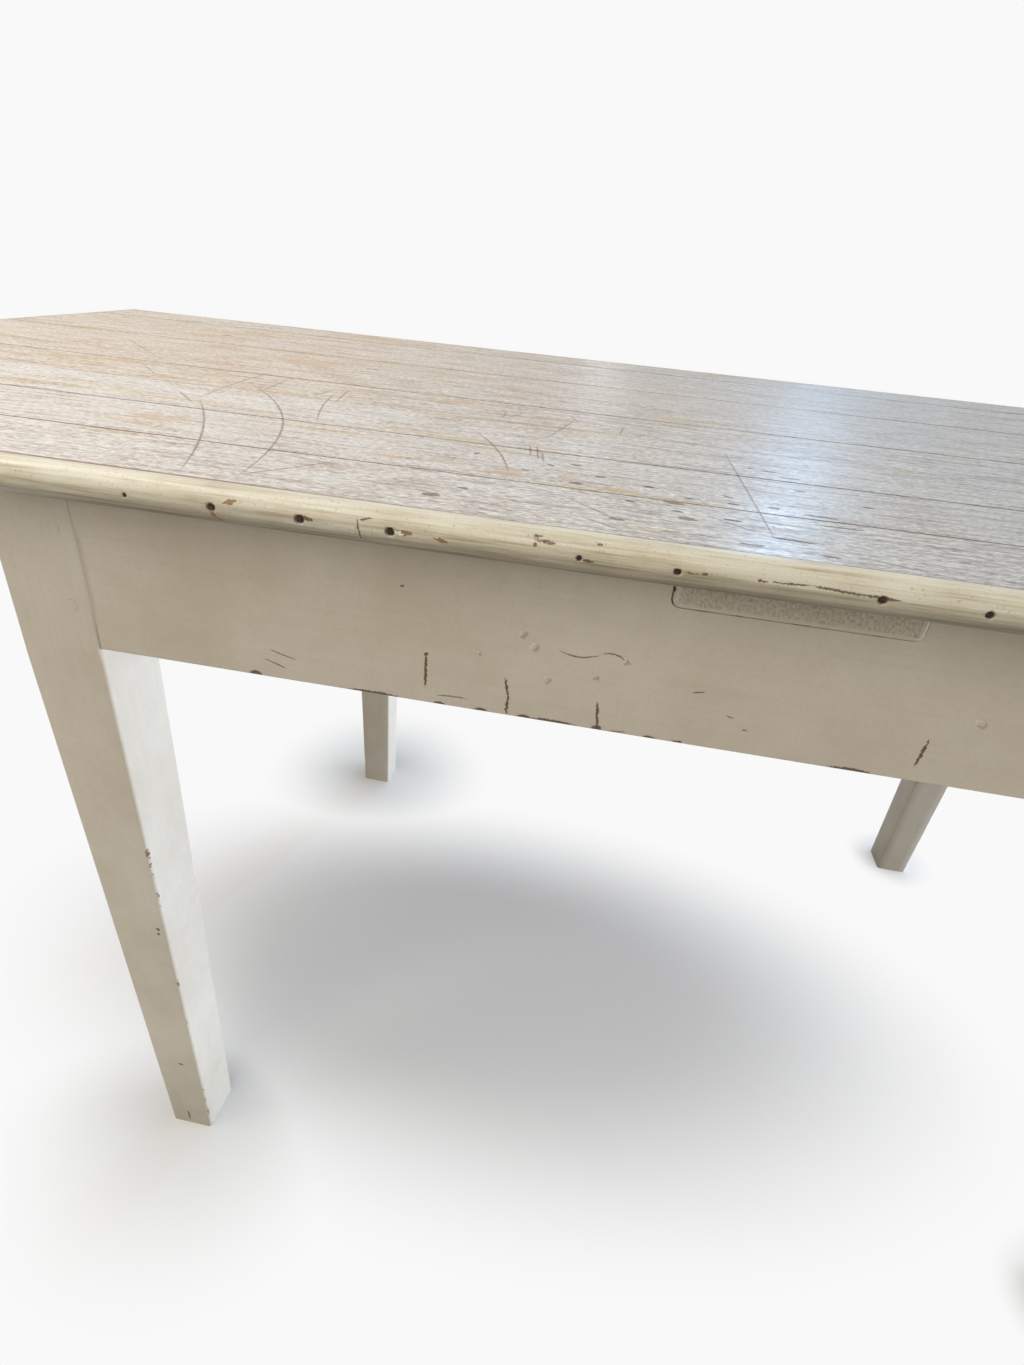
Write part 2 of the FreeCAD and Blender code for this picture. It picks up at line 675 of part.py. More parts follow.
def leg(label, side, depth):
    """One leg: side is -1 on the left, depth is -1 at the front."""
    body = piece(label)
    centre_x = signed(side, f"({LEG_X} - dims.leg_top / 2)")
    centre_y = signed(depth, f"({LEG_Y} - dims.leg_top / 2)")
    foot = outline(body, "foot", "XY_Plane", "0", leg_section(centre_x, centre_y, "dims.leg_foot"))
    knee_corners = leg_section(centre_x, centre_y, "dims.leg_top")
    knee = outline(body, "knee", "XY_Plane", TAPER_START, knee_corners)
    taper = body.newObject("PartDesign::AdditiveLoft", "taper")
    taper.Profile = foot
    taper.Sections = [knee]
    taper.Ruled = True
    grow(body, "head", "XY_Plane", knee_corners, TAPER_START, UNDERSIDE)
    inside_x = signed(side, f"({LEG_INNER_X} - dims.overrun)")
    deep_x = signed(side, f"({LEG_INNER_X} + dims.tenon_length + dims.joint_fit)")
    inside_y = signed(depth, f"({LEG_INNER_Y} - dims.overrun)")
    deep_y = signed(depth, f"({LEG_INNER_Y} + dims.tenon_length + dims.joint_fit)")
    end_mortise = tenon_section(signed(side, APRON_X), "dims.joint_fit")
    carve(body, "end_mortise", "XZ_Plane", end_mortise, *ordered(inside_y, deep_y))
    if depth < 0:
        long_mortise = tenon_section(minus(APRON_Y), "dims.joint_fit")
    else:
        long_mortise = rail_tenon("dims.joint_fit")
        socket = rail_dovetail(side, "dims.joint_fit", "dims.overrun")
        carve(body, "dovetail_socket", "XY_Plane", socket,
              f"{UNDERSIDE} - dims.dovetail_thickness - dims.joint_fit", f"{UNDERSIDE} + dims.overrun")
    carve(body, "long_mortise", "YZ_Plane", long_mortise, *ordered(inside_x, deep_x))
    outer_x = signed(side, f"({LEG_X} + dims.overrun)")
    end_x = signed(side, f"({LEG_X} - dims.peg_length - dims.joint_fit)")
    outer_y = signed(depth, f"({LEG_Y} + dims.overrun)")
    end_y = signed(depth, f"({LEG_Y} - dims.peg_length - dims.joint_fit)")
    for level in peg_levels():
        hole = peg_section(signed(depth, PEG_Y), level, "dims.joint_fit")
        carve(body, "end_peg_hole", "YZ_Plane", hole, *ordered(outer_x, end_x))
        if depth < 0:
            hole = peg_section(signed(side, PEG_X), level, "dims.joint_fit")
            carve(body, "long_peg_hole", "XZ_Plane", hole, *ordered(outer_y, end_y))


for depth_word, depth in (("front", -1), ("back", 1)):
    for side_word, side in (("left", -1), ("right", 1)):
        leg(f"leg_{depth_word}_{side_word}", side, depth)


# Pegs: shaved wooden pins through the leg and the tenon, flush with the face of the leg
def peg(plane, centre, level, face, inner):
    """One peg, from the face of the leg inwards."""
    pin = doc.addObject("PartDesign::Body", "peg")
    grow(pin, "pin", plane, peg_section(centre, level, "0"), *ordered(face, inner))
    return pin


pegs = doc.addObject("Part::Compound", "joint_pegs")
pins = []
for side in (-1, 1):
    face_x, inner_x = signed(side, LEG_X), signed(side, f"({LEG_X} - dims.peg_length)")
    face_y, inner_y = minus(LEG_Y), minus(f"({LEG_Y} - dims.peg_length)")
    for level in peg_levels():
        pins.append(peg("XZ_Plane", signed(side, PEG_X), level, face_y, inner_y))
        for depth in (-1, 1):
            pins.append(peg("YZ_Plane", signed(depth, PEG_Y), level, face_x, inner_x))
pegs.Links = pins
nodes["joint_pegs"] = pegs


# Runners carry the drawers, and guides on them keep the drawers straight
for label, sign in (("left", -1), ("right", 1)):
    near, far = ordered(signed(sign, f"({LEG_INNER_X} - dims.runner_bearing)"), signed(sign, APRON_INNER_X))
    runner = piece(f"drawer_runner_{label}")
    grow(runner, "runner", "XZ_Plane", rectangle(near, far, APRON_BOTTOM, RUNNER_TOP),
         minus(LEG_INNER_Y), LEG_INNER_Y)
    near, far = ordered(signed(sign, LEG_INNER_X), signed(sign, APRON_INNER_X))
    guide = piece(f"drawer_guide_{label}")
    section = rectangle(near, far, RUNNER_TOP, f"{RUNNER_TOP} + dims.guide_height")
    grow(guide, "guide", "XZ_Plane", section, minus(LEG_INNER_Y), LEG_INNER_Y)

runner = piece("drawer_runner_centre")
half = "(dims.muntin_width / 2 + dims.runner_bearing)"
section = rectangle(minus(half), half, APRON_BOTTOM, RUNNER_TOP)
grow(runner, "runner", "XZ_Plane", section, minus(APRON_INNER_Y), LEG_INNER_Y)
grow(runner, "stubs", "XZ_Plane", runner_stub("0"), minus(f"({APRON_INNER_Y} + dims.runner_stub)"),
     f"{LEG_INNER_Y} + dims.runner_stub")
guide = piece("drawer_guide_centre")
section = rectangle("-dims.muntin_width / 2", "dims.muntin_width / 2", RUNNER_TOP,
                    f"{RUNNER_TOP} + dims.guide_height")
grow(guide, "guide", "XZ_Plane", section, minus(APRON_INNER_Y), LEG_INNER_Y)

# Drawers: built about the middle of their opening and moved to the left or right of the muntin
OPENING = f"({LEG_INNER_X} - dims.muntin_width / 2)"
OPENING_X = f"(({LEG_INNER_X} + dims.muntin_width / 2) / 2)"
OUTSIDE = f"({OPENING} / 2 - dims.drawer_gap)"
INSIDE = f"({OUTSIDE} - dims.drawer_side_thickness)"
FRONT_BACK = f"({APRON_Y} - dims.drawer_front_thickness)"
DRAWER_END = f"({APRON_Y} - dims.drawer_length)"
SIDE_LOW = f"({RUNNER_TOP} + dims.drawer_run_fit)"
SIDE_HIGH = f"({BATTEN_BOTTOM} - dims.drawer_kick_gap)"
FRONT_LOW = f"({RUNNER_TOP} + dims.drawer_gap)"
FRONT_HIGH = f"({TOP_RAIL_BOTTOM} - dims.drawer_gap)"
PANEL_LOW = f"({SIDE_LOW} + dims.bottom_rise)"
PANEL_HIGH = f"({PANEL_LOW} + dims.bottom_thickness)"
GROOVE_LOW = f"({PANEL_LOW} - dims.panel_fit / 2)"
GROOVE_HIGH = f"({PANEL_HIGH} + dims.panel_fit / 2)"
KNOB_LEVEL = f"(({FRONT_LOW} + {FRONT_HIGH}) / 2)"
BACK_NEAR = f"({DRAWER_END} + dims.drawer_back_inset)"
BACK_FAR = f"({BACK_NEAR} + dims.drawer_back_thickness)"
TAIL_PITCH = f"(({SIDE_HIGH} - {SIDE_LOW}) / dims.tail_count)"
TAIL_END = f"({APRON_Y} - dims.drawer_lap)"
tail_count = int(number("dims.tail_count"))


def tail(index, fit, root):
    """One dovetail on the front end of a drawer side, from its root to its wide end."""
    middle = f"({SIDE_LOW} + {2 * index + 1} * {TAIL_PITCH} / 2)"
    wide = f"({TAIL_PITCH} / 2 - dims.pin_width / 2 + {fit})"
    narrow = f"({wide} - dims.tail_flare)"
    start = f"({FRONT_BACK} - {root})"
    end = f"({TAIL_END} + {fit})"
    return [
        (start, f"{middle} - {narrow}"), (end, f"{middle} - {wide}"),
        (end, f"{middle} + {wide}"), (start, f"{middle} + {narrow}"),
    ]


def drawer_front(body):
    """A front board with sockets for the tails, a groove for the bottom and a hole for the knob."""
    section = rectangle(FRONT_BACK, APRON_Y, FRONT_LOW, FRONT_HIGH)
    grow(body, "board", "YZ_Plane", section, minus(OUTSIDE), OUTSIDE)
    for sign in (-1, 1):
        low, high = ordered(signed(sign, f"({INSIDE} - dims.joint_fit)"),
                            signed(sign, f"({OUTSIDE} + dims.overrun)"))
        for index in range(tail_count):
            carve(body, "socket", "YZ_Plane", tail(index, "dims.joint_fit", "dims.overrun"), low, high)
    reach = f"({INSIDE} + dims.groove_depth)"
    groove = rectangle(f"{FRONT_BACK} - dims.overrun", f"{FRONT_BACK} + dims.groove_depth",
                       GROOVE_LOW, GROOVE_HIGH)
    carve(body, "groove", "YZ_Plane", groove, minus(reach), reach)
    radius = "(dims.knob_spigot + dims.joint_fit) / 2"
    middle = ("0", KNOB_LEVEL, 1)
    circle = [(minus(radius), KNOB_LEVEL, middle), (radius, KNOB_LEVEL, middle)]
    carve(body, "knob_hole", "XZ_Plane", circle, f"{FRONT_BACK} - dims.overrun", f"{APRON_Y} + dims.overrun")


def drawer_side(body, sign):
    """A side with tails at its front end, grooved for the bottom and housed for the back."""
    profile = [(DRAWER_END, SIDE_LOW), (FRONT_BACK, SIDE_LOW)]
    for index in range(tail_count):
        profile += tail(index, "0", "0")
    profile += [(FRONT_BACK, SIDE_HIGH), (DRAWER_END, SIDE_HIGH)]
    inner, outer = signed(sign, INSIDE), signed(sign, OUTSIDE)
    grow(body, "board", "YZ_Plane", profile, *ordered(inner, outer))
    start = signed(sign, f"({INSIDE} - dims.overrun)")
    groove = rectangle(f"{DRAWER_END} - dims.overrun", f"{TAIL_END} + dims.overrun", GROOVE_LOW, GROOVE_HIGH)
    carve(body, "groove", "YZ_Plane", groove,
          *ordered(start, signed(sign, f"({INSIDE} + dims.groove_depth)")))
    housing = rectangle(f"{BACK_NEAR} - dims.joint_fit", f"{BACK_FAR} + dims.joint_fit", PANEL_HIGH,
                        f"{SIDE_HIGH} + dims.overrun")
    carve(body, "housing", "YZ_Plane", housing,
          *ordered(start, signed(sign, f"({INSIDE} + dims.housing_depth)")))


def drawer_back(body):
    """A back that stands on the bottom, its ends in the housings of the sides."""
    reach = f"({INSIDE} + dims.housing_depth - dims.joint_fit)"
    section = rectangle(BACK_NEAR, BACK_FAR, f"{PANEL_HIGH} + dims.joint_fit",
                        f"{SIDE_HIGH} - dims.drawer_back_drop")
    grow(body, "board", "YZ_Plane", section, minus(reach), reach)


def drawer_bottom(body):
    """A bottom panel that slides into the grooves from behind."""
    reach = f"({INSIDE} + dims.groove_depth - dims.panel_fit)"
    plan = rectangle(minus(reach), reach, DRAWER_END, f"{FRONT_BACK} + dims.groove_depth - dims.panel_fit")
    grow(body, "panel", "XY_Plane", plan, PANEL_LOW, PANEL_HIGH)


def turned_ring(diameter):
    """A ring of many short sides that stands for one diameter of a turned knob."""
    turns = [f"({side} * 360 deg / dims.knob_sides)" for side in range(int(number("dims.knob_sides")))]
    return [(f"{diameter} / 2 * cos({turn})", f"{diameter} / 2 * sin({turn})") for turn in turns]


def drawer_knob(body):
    """A turned knob whose spigot is glued through the drawer front."""
    head = grow(body, "head", "XZ_Plane", turned_ring("dims.knob_head"), "dims.knob_neck_height",
                "dims.knob_length")
    doc.recompute()
    rims = []
    for order, edge in enumerate(head.Shape.Edges, start=1):
        if edge.BoundBox.YLength < number("dims.joint_fit"):
            rims.append(f"Edge{order}")
    bevel = body.newObject("PartDesign::Chamfer", "bevel")
    bevel.Base = (head, rims)
    bevel.setExpression("Size", "dims.knob_bevel")
    grow(body, "neck", "XZ_Plane", turned_ring("dims.knob_neck"), "0", "dims.knob_neck_height")
    grow(body, "flange", "XZ_Plane", turned_ring("dims.knob_flange"), "0", "dims.knob_flange_height")
    grow(body, "spigot", "XZ_Plane", turned_ring("dims.knob_spigot"), "-dims.drawer_front_thickness", "0")
    body.setExpression("Placement.Base.y", APRON_Y)
    body.setExpression("Placement.Base.z", KNOB_LEVEL)


for word, sign in (("left", -1), ("right", 1)):
    makers = {
        "front": drawer_front,
        "side_left": lambda body: drawer_side(body, -1),
        "side_right": lambda body: drawer_side(body, 1),
        "back": drawer_back,
        "bottom": drawer_bottom,
        "knob": drawer_knob,
    }
    for name, make in makers.items():
        body = piece(f"drawer_{word}_{name}")
        make(body)
        body.setExpression("Placement.Base.x", signed(sign, OPENING_X))


# Stops on the bottom rail: the back of each drawer front meets two of them
def drawer_stop(along):
    """One small block glued to the bottom rail."""
    block = doc.addObject("Part::Box", "stop")
    block.setExpression("Length", "dims.stop_length")
    block.setExpression("Width", "dims.stop_depth")
    block.setExpression("Height", "dims.stop_height")
    block.setExpression("Placement.Base.x", f"{along} - dims.stop_length / 2")
    block.setExpression("Placement.Base.y", f"{FRONT_BACK} - dims.stop_fit - dims.stop_depth")
    block.setExpression("Placement.Base.z", RUNNER_TOP)
    return block


stops = doc.addObject("Part::Compound", "drawer_stops")
stops.Links = [
    drawer_stop(f"({signed(sign, OPENING_X)} + {signed(end, 'dims.stop_offset')})")
    for sign in (-1, 1)
    for end in (-1, 1)
]
nodes["drawer_stops"] = stops

doc.recompute()

# Every feature has to be sound, and every cut has to take something away, before a file is written
for item in doc.Objects:
    if "Invalid" in item.State or "Error" in item.State:
        raise RuntimeError(f"{item.Label} failed: {item.State}")
    if item.isDerivedFrom("PartDesign::Pocket"):
        before = item.BaseFeature.Shape.Volume
        if item.Shape.Volume > before - number("dims.joint_fit") ** 3:
            raise RuntimeError(f"{item.Label} of {item.getParentGeoFeatureGroup().Label} cuts nothing")
groups = {"lipping_nails", "top_nails", "joint_pegs", "drawer_stops"}
for label, item in nodes.items():
    shape = item.Shape
    if shape.isNull() or not shape.isValid():
        raise RuntimeError(f"{label} has no sound shape")
    if label not in groups and len(shape.Solids) != 1:
        raise RuntimeError(f"{label} has {len(shape.Solids)} solids")

os.makedirs("parts", exist_ok=True)
for label, item in nodes.items():
    item.Shape.exportStep(f"parts/{label}.step")
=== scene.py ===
import bmesh
import bpy
import math
from mathutils import Matrix, Vector, noise
from types import SimpleNamespace


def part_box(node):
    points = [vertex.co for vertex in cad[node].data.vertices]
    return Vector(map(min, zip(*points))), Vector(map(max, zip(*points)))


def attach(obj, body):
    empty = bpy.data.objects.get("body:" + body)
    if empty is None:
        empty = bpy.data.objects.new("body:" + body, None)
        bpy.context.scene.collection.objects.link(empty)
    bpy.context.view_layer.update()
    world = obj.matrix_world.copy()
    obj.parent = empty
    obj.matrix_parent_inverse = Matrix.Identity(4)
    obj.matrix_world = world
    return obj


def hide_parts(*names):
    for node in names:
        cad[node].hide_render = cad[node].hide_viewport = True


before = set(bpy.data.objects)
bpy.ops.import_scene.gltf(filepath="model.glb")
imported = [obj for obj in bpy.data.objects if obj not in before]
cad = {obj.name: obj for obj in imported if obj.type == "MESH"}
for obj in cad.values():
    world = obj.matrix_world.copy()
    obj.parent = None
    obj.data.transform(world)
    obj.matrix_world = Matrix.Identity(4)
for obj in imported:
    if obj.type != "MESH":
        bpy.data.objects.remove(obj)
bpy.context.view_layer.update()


# Legs: four square pine posts, planed to a taper on all four faces below the frame, arrises eased.
# They carry many coats of greige eggshell paint, brushed on lengthwise, chipped brown along the arrises.
scene = bpy.context.scene
MM = 0.001


def linear(shade):
    """An sRGB hex colour as the linear colour that a shader takes."""
    parts = [int(shade[at:at + 2], 16) / 255 for at in (1, 3, 5)]
    return [p / 12.92 if p <= 0.04045 else ((p + 0.055) / 1.055) ** 2.4 for p in parts] + [1.0]


def feed(tree, node, sockets):
    """Feed a node's sockets, each with a number, a hex shade, a socket or a node's first live output."""
    for name, value in sockets.items():
        if isinstance(value, bpy.types.Node):
            value = next(output for output in value.outputs if output.enabled)
        if isinstance(value, bpy.types.NodeSocket):
            tree.links.new(value, node.inputs[name])
        else:
            node.inputs[name].default_value = linear(value) if isinstance(value, str) else value


def add(tree, kind, sockets=None, operation=None, stops=(), **settings):
    """Add one shader node: what it does, its settings, its sockets and the stops of a colour ramp."""
    made = tree.nodes.new("ShaderNode" + kind)
    if operation:
        made.operation = operation
    for name, value in settings.items():
        setattr(made, name, value)
    feed(tree, made, sockets or {})
    for at, (place, shade) in enumerate(stops):
        if at > 1:
            made.color_ramp.elements.new(place)
        made.color_ramp.elements[at].position = place
        made.color_ramp.elements[at].color = linear(shade)
    return made


def finish(name):
    """A bare finish: its material, node tree and shader, and a point's place on the table in mm."""
    material = bpy.data.materials.new(name)
    material.use_nodes = True
    tree = material.node_tree
    place = add(tree, "TexCoord")
    mm = add(tree, "VectorMath", {0: place.outputs["Object"], "Scale": 1 / MM}, "SCALE")
    return SimpleNamespace(material=material, tree=tree, shader=tree.nodes["Principled BSDF"], mm=mm)


def scarred(look, marks, wobble, shade, depth, cover=1.0):
    """Lay one kind of mark over a finish: its shade, and how deep in mm it cuts into the height.

    A mark is a place, a turn in degrees and half sizes, all along X, Y and Z in mm. A bent one also has
    its sag: how far its two ends, along X, lie to the side of its middle, along Y.
    Rims stray by about the wobble, and cover is how far the shade hides the finish.
    """
    tree = look.tree
    stray = add(tree, "TexNoise", {"Vector": look.mm, "Scale": 0.4 / wobble, "Detail": 2.0})
    stray = add(tree, "VectorMath", {0: stray.outputs["Color"], 1: (0.5, 0.5, 0.5)}, "SUBTRACT")
    stray = add(tree, "VectorMath", {0: stray, "Scale": 4.0 * wobble}, "SCALE")
    ragged = add(tree, "VectorMath", {0: look.mm, 1: stray}, "ADD")
    nearest = None
    for place, turn, halves, *sag in marks:
        spot = add(tree, "Mapping", {
            "Vector": ragged, "Location": place, "Rotation": [math.radians(a) for a in turn],
            "Scale": halves}, vector_type="TEXTURE")
        if sag:
            bend = add(tree, "VectorMath", {0: spot, 1: spot}, "MULTIPLY")
            bend = add(tree, "VectorMath", {0: bend, 1: (1.0, 0.0, 0.0)}, "DOT_PRODUCT")
            bend = add(tree, "VectorMath", {0: (0.0, -sag[0] / halves[1], 0.0), "Scale": bend}, "SCALE")
            spot = add(tree, "VectorMath", {0: spot, 1: bend}, "ADD")
        reach = add(tree, "VectorMath", {0: spot}, "LENGTH")
        if nearest is None:
            nearest = reach
        else:
            nearest = add(tree, "Math", {0: nearest, 1: reach}, "MINIMUM")
    mask = add(tree, "MapRange", {"Value": nearest, "From Min": 0.72, "To Min": cover, "To Max": 0.0},
               interpolation_type="SMOOTHSTEP")
    look.colour = add(tree, "Mix", {"Factor": mask, "A": look.colour, "B": shade}, data_type="RGBA")
    if depth:
        look.height = add(tree, "Math", {0: mask, 1: -depth, 2: look.height}, "MULTIPLY_ADD")


def laid(look):
    """Put a finish's colour, and its height in mm, on its shader."""
    relief = add(look.tree, "Bump", {"Height": look.height, "Distance": MM})
    feed(look.tree, look.shader, {"Base Color": look.colour, "Normal": relief})


def greige_paint(name, brush):
    """Brushed eggshell paint, yellowed and handled: faint ridges, specks and an uneven sheen.

    brush is the size of a brush mark along X, Y and Z in mm. Real ones are half as wide and wouldn't show.
    """
    look = finish(name)
    tree, mm = look.tree, look.mm
    stroke = add(tree, "VectorMath", {0: mm, 1: brush}, "DIVIDE")
    ridges = add(tree, "TexNoise", {"Vector": stroke, "Scale": 1.0, "Detail": 2.0})
    # Soil lies in patches of 110 mm, the paint has lumps of 16 mm and specks of 2.6 mm
    soil = add(tree, "TexNoise", {"Vector": mm, "Scale": 1 / 110, "Detail": 6.0, "Roughness": 0.65})
    lumps = add(tree, "TexNoise", {"Vector": mm, "Scale": 1 / 16, "Detail": 3.0})
    specks = add(tree, "TexNoise", {"Vector": mm, "Scale": 1 / 2.6, "Detail": 2.0, "Roughness": 0.7})
    tone = add(tree, "ValToRGB", {0: soil}, stops=((0.33, "#cdc9be"), (0.62, "#d9d7cf")))
    grime_and_shade = add(tree, "MapRange", {
        "Value": ridges, "From Min": 0.3, "From Max": 0.6, "To Min": 0.05, "To Max": 0.0})
    speckled = add(tree, "MapRange", {
        "Value": specks, "From Min": 0.32, "From Max": 0.5, "To Min": 0.08, "To Max": 0.0})
    dirt = add(tree, "Math", {0: grime_and_shade, 1: speckled}, "ADD")
    colour = add(tree, "Mix", {"Factor": dirt, "A": tone, "B": "#9c917d"}, data_type="RGBA")
    sheen = add(tree, "MapRange", {
        "Value": soil, "From Min": 0.35, "From Max": 0.65, "To Min": 0.52, "To Max": 0.4})
    feed(tree, look.shader, {"Roughness": sheen})
    height = add(tree, "Math", {0: ridges, 1: 0.035}, "MULTIPLY")
    height = add(tree, "Math", {0: lumps, 1: 0.16, 2: height}, "MULTIPLY_ADD")
    height = add(tree, "Math", {0: specks, 1: 0.03, 2: height}, "MULTIPLY_ADD")
    look.colour, look.height = colour, height
    return look


# Waves that the plane leaves, to a metre
WAVES = 11.0


def worked(name, slices, hollow):
    """A copy of a node's mesh, sliced across along X, Y and Z every so many mm.

    The plane has left it uneven by up to the hollow in mm.
    """
    bm = bmesh.new()
    bm.from_mesh(cad[name].data)
    bmesh.ops.remove_doubles(bm, verts=bm.verts, dist=1e-6)
    bmesh.ops.dissolve_limit(bm, angle_limit=math.radians(0.5), verts=bm.verts, edges=bm.edges)
    low, high = (Vector(corner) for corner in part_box(name))
    for axis, pitch in enumerate(slices):
        if not pitch:
            continue
        across = Matrix.Identity(3)[axis]
        count = round((high - low)[axis] / (pitch * MM))
        for step in range(1, count):
            at = low + across * (high - low)[axis] * step / count
            bmesh.ops.bisect_plane(
                bm, geom=bm.verts[:] + bm.edges[:] + bm.faces[:], dist=1e-6, plane_co=at, plane_no=across)
    bm.normal_update()
    for vert in bm.verts:
        dip = 0.5 + 0.5 * noise.noise(vert.co * WAVES)
        vert.co -= vert.normal * dip * hollow * MM
    return bm


def settle(bm, name, look, body, stands_for, crease=35):
    """Make a piece of a mesh: smooth within its creases, finished, and riding on its body."""
    mesh = bpy.data.meshes.new(name)
    bm.to_mesh(mesh)
    bm.free()
    mesh.shade_smooth()
    mesh.set_sharp_from_angle(angle=math.radians(crease))
    mesh.materials.append(look.material)
    made = bpy.data.objects.new(name, mesh)
    scene.collection.objects.link(made)
    # Broad faces keep their own shading right up to the eased arrises
    weighted = made.modifiers.new("weighted", "WEIGHTED_NORMAL")
    weighted.keep_sharp = True
    weighted.weight = 90
    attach(made, body)
    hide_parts(*stands_for)
    return made


leg_paint = greige_paint("greige_paint_on_legs", brush=(2.4, 2.4, 90.0))
LEG_X, LEG_Y, LEG_HALF, LEG_TAPER, TAPER_START = 479.0, 326.0, 31.0, 7.5, 616.0
chips = []
# Chips that chairs and brooms knocked out of the arrises, then nail dots, a scratch and a split in a face:
# the leg's side in X and Y, the place on the leg from -1 to 1 in X and Y, the height and the half sizes
for leg_x, leg_y, on_x, on_y, z, wide, deep, tall in (
        (-1, -1, 1.0, -1.0, 431.0, 2.8, 2.4, 9.0), (-1, -1, 1.0, -1.0, 418.0, 2.4, 2.2, 7.0),
        (-1, -1, 1.0, -1.0, 404.0, 2.1, 2.1, 7.0), (-1, -1, 1.0, -1.0, 381.0, 2.5, 2.3, 8.0),
        (-1, -1, 1.0, -1.0, 368.0, 2.0, 2.0, 6.0), (-1, -1, 1.0, -1.0, 258.7, 2.4, 2.2, 8.0),
        (-1, -1, 1.0, -1.0, 198.0, 2.0, 2.0, 7.0), (-1, -1, 1.0, -1.0, 72.7, 2.4, 2.2, 8.0),
        (-1, -1, 1.0, -1.0, 55.0, 2.1, 2.1, 7.0), (-1, -1, 1.0, -1.0, 30.0, 2.6, 2.4, 11.0),
        (-1, -1, -1.0, -1.0, 330.0, 3.2, 3.2, 20.0), (1, -1, 1.0, -1.0, 402.0, 3.2, 3.2, 18.0),
        (1, -1, -1.0, -1.0, 180.0, 3.2, 3.2, 14.0), (-1, 1, -1.0, 1.0, 204.0, 3.2, 3.2, 20.0),
        (1, 1, 1.0, 1.0, 96.0, 3.2, 3.2, 22.0),
        (-1, -1, 0.7, -1.0, 336.1, 2.2, 6.0, 2.2), (-1, -1, 0.67, -1.0, 329.7, 1.9, 6.0, 1.9),
        (-1, -1, 0.2, -1.0, 118.6, 3.2, 6.0, 1.5), (-1, -1, -0.08, -1.0, 15.6, 1.2, 6.0, 10.0)):
    half = LEG_HALF - LEG_TAPER * (1.0 - z / TAPER_START)
    place = (leg_x * LEG_X + on_x * half, leg_y * LEG_Y + on_y * half, z)
    chips.append((place, (0, 0, 0), (wide, deep, tall)))
scarred(leg_paint, chips, wobble=0.8, shade="#6b4a1e", depth=0.35, cover=0.92)
# Shoes and mops soil the feet
tree, mm = leg_paint.tree, leg_paint.mm
apart = add(tree, "SeparateXYZ", {0: mm})
scuff = add(tree, "TexNoise", {"Vector": mm, "Scale": 1 / 24, "Detail": 4.0})
scuffed = add(tree, "MapRange", {
    "Value": apart.outputs["Z"], "From Max": 110.0, "To Min": 0.35, "To Max": 0.0})
scuffed = add(tree, "Math", {0: scuffed, 1: scuff}, "MULTIPLY")
leg_paint.colour = add(tree, "Mix", {
    "Factor": scuffed, "A": leg_paint.colour, "B": "#8d8474"}, data_type="RGBA")
laid(leg_paint)
for leg in ("leg_front_left", "leg_front_right", "leg_back_left", "leg_back_right"):
    settle(worked(leg, slices=(20.0, 20.0, 24.0), hollow=0.3), f"{leg}_post", leg_paint, "table",
           [leg])


# Aprons: pine boards on edge, tenoned into the legs, one along the front and one at each end.
# Same paint, brushed along the board. The front one is cracked, dented and chipped along its lower arris.
apron_paint = greige_paint("greige_paint_on_front_apron", brush=(110.0, 2.4, 2.4))
APRON_FACE = -356.0
# Drying cracks that run up from the lower arris, brown with old dirt: X, height, lean and half length
scarred(apron_paint, [
    ((x, APRON_FACE, z), (0, lean, 0), (1.05, 6.0, half)) for x, z, lean, half in (
        (-215.2, 653.0, 0, 14.0), (-161.2, 649.5, -12, 8.0), (-160.1, 637.0, 2, 9.0),
        (-101.2, 639.0, -7, 12.5), (96.0, 650.0, 5, 12.0), (262.0, 646.0, -4, 14.0))
], wobble=0.8, shade="#643a0a", depth=0.3, cover=0.95)
# Chips along the lower arris and a nail dot: X, height and half sizes
scarred(apron_paint, [
    ((x, APRON_FACE, z), (0, 0, 0), (half, 4.0, deep)) for x, z, half, deep in (
        (-334.0, 629.4, 5.0, 3.0), (-251.0, 628.6, 22.0, 2.4), (-205.5, 628.6, 5.0, 2.6),
        (-177.2, 628.6, 6.0, 2.6), (-148.4, 628.6, 6.0, 3.0), (-129.0, 628.6, 18.0, 2.6),
        (-100.4, 629.2, 4.0, 3.4), (-66.2, 628.6, 5.0, 2.4), (-48.0, 628.6, 4.0, 2.4),
        (59.6, 628.6, 16.0, 2.8), (214.0, 628.6, 14.0, 2.8), (390.0, 628.6, 9.0, 2.6),
        (-231.4, 709.7, 1.0, 1.0), (-215.2, 665.0, 1.5, 1.5))
], wobble=0.7, shade="#4f3c2a", depth=0.4, cover=0.9)
# Hairlines and scratches: X, height, turn, half length and sag
scarred(apron_paint, [
    ((x, APRON_FACE, z), (90, turn, 0), (half, 0.55, 6.0), sag) for x, z, turn, half, sag in (
        (-118.0, 679.6, -2, 15.0, 4.4), (-97.0, 685.0, 8, 8.5, -2.6), (-197.0, 636.4, -2, 12.0, -0.6),
        (-42.5, 667.8, -14, 4.5, 0.0), (-89.0, 629.6, -8, 8.0, 0.0), (-20.4, 654.0, 15, 3.0, 0.0),
        (-9.4, 646.2, 5, 2.2, 0.0), (-313.0, 647.6, 15, 11.0, 0.4), (-319.0, 640.0, 18, 9.0, 0.0),
        (154.0, 690.0, -5, 18.0, 1.5))
], wobble=0.4, shade="#5b4a34", depth=0.3, cover=0.8)
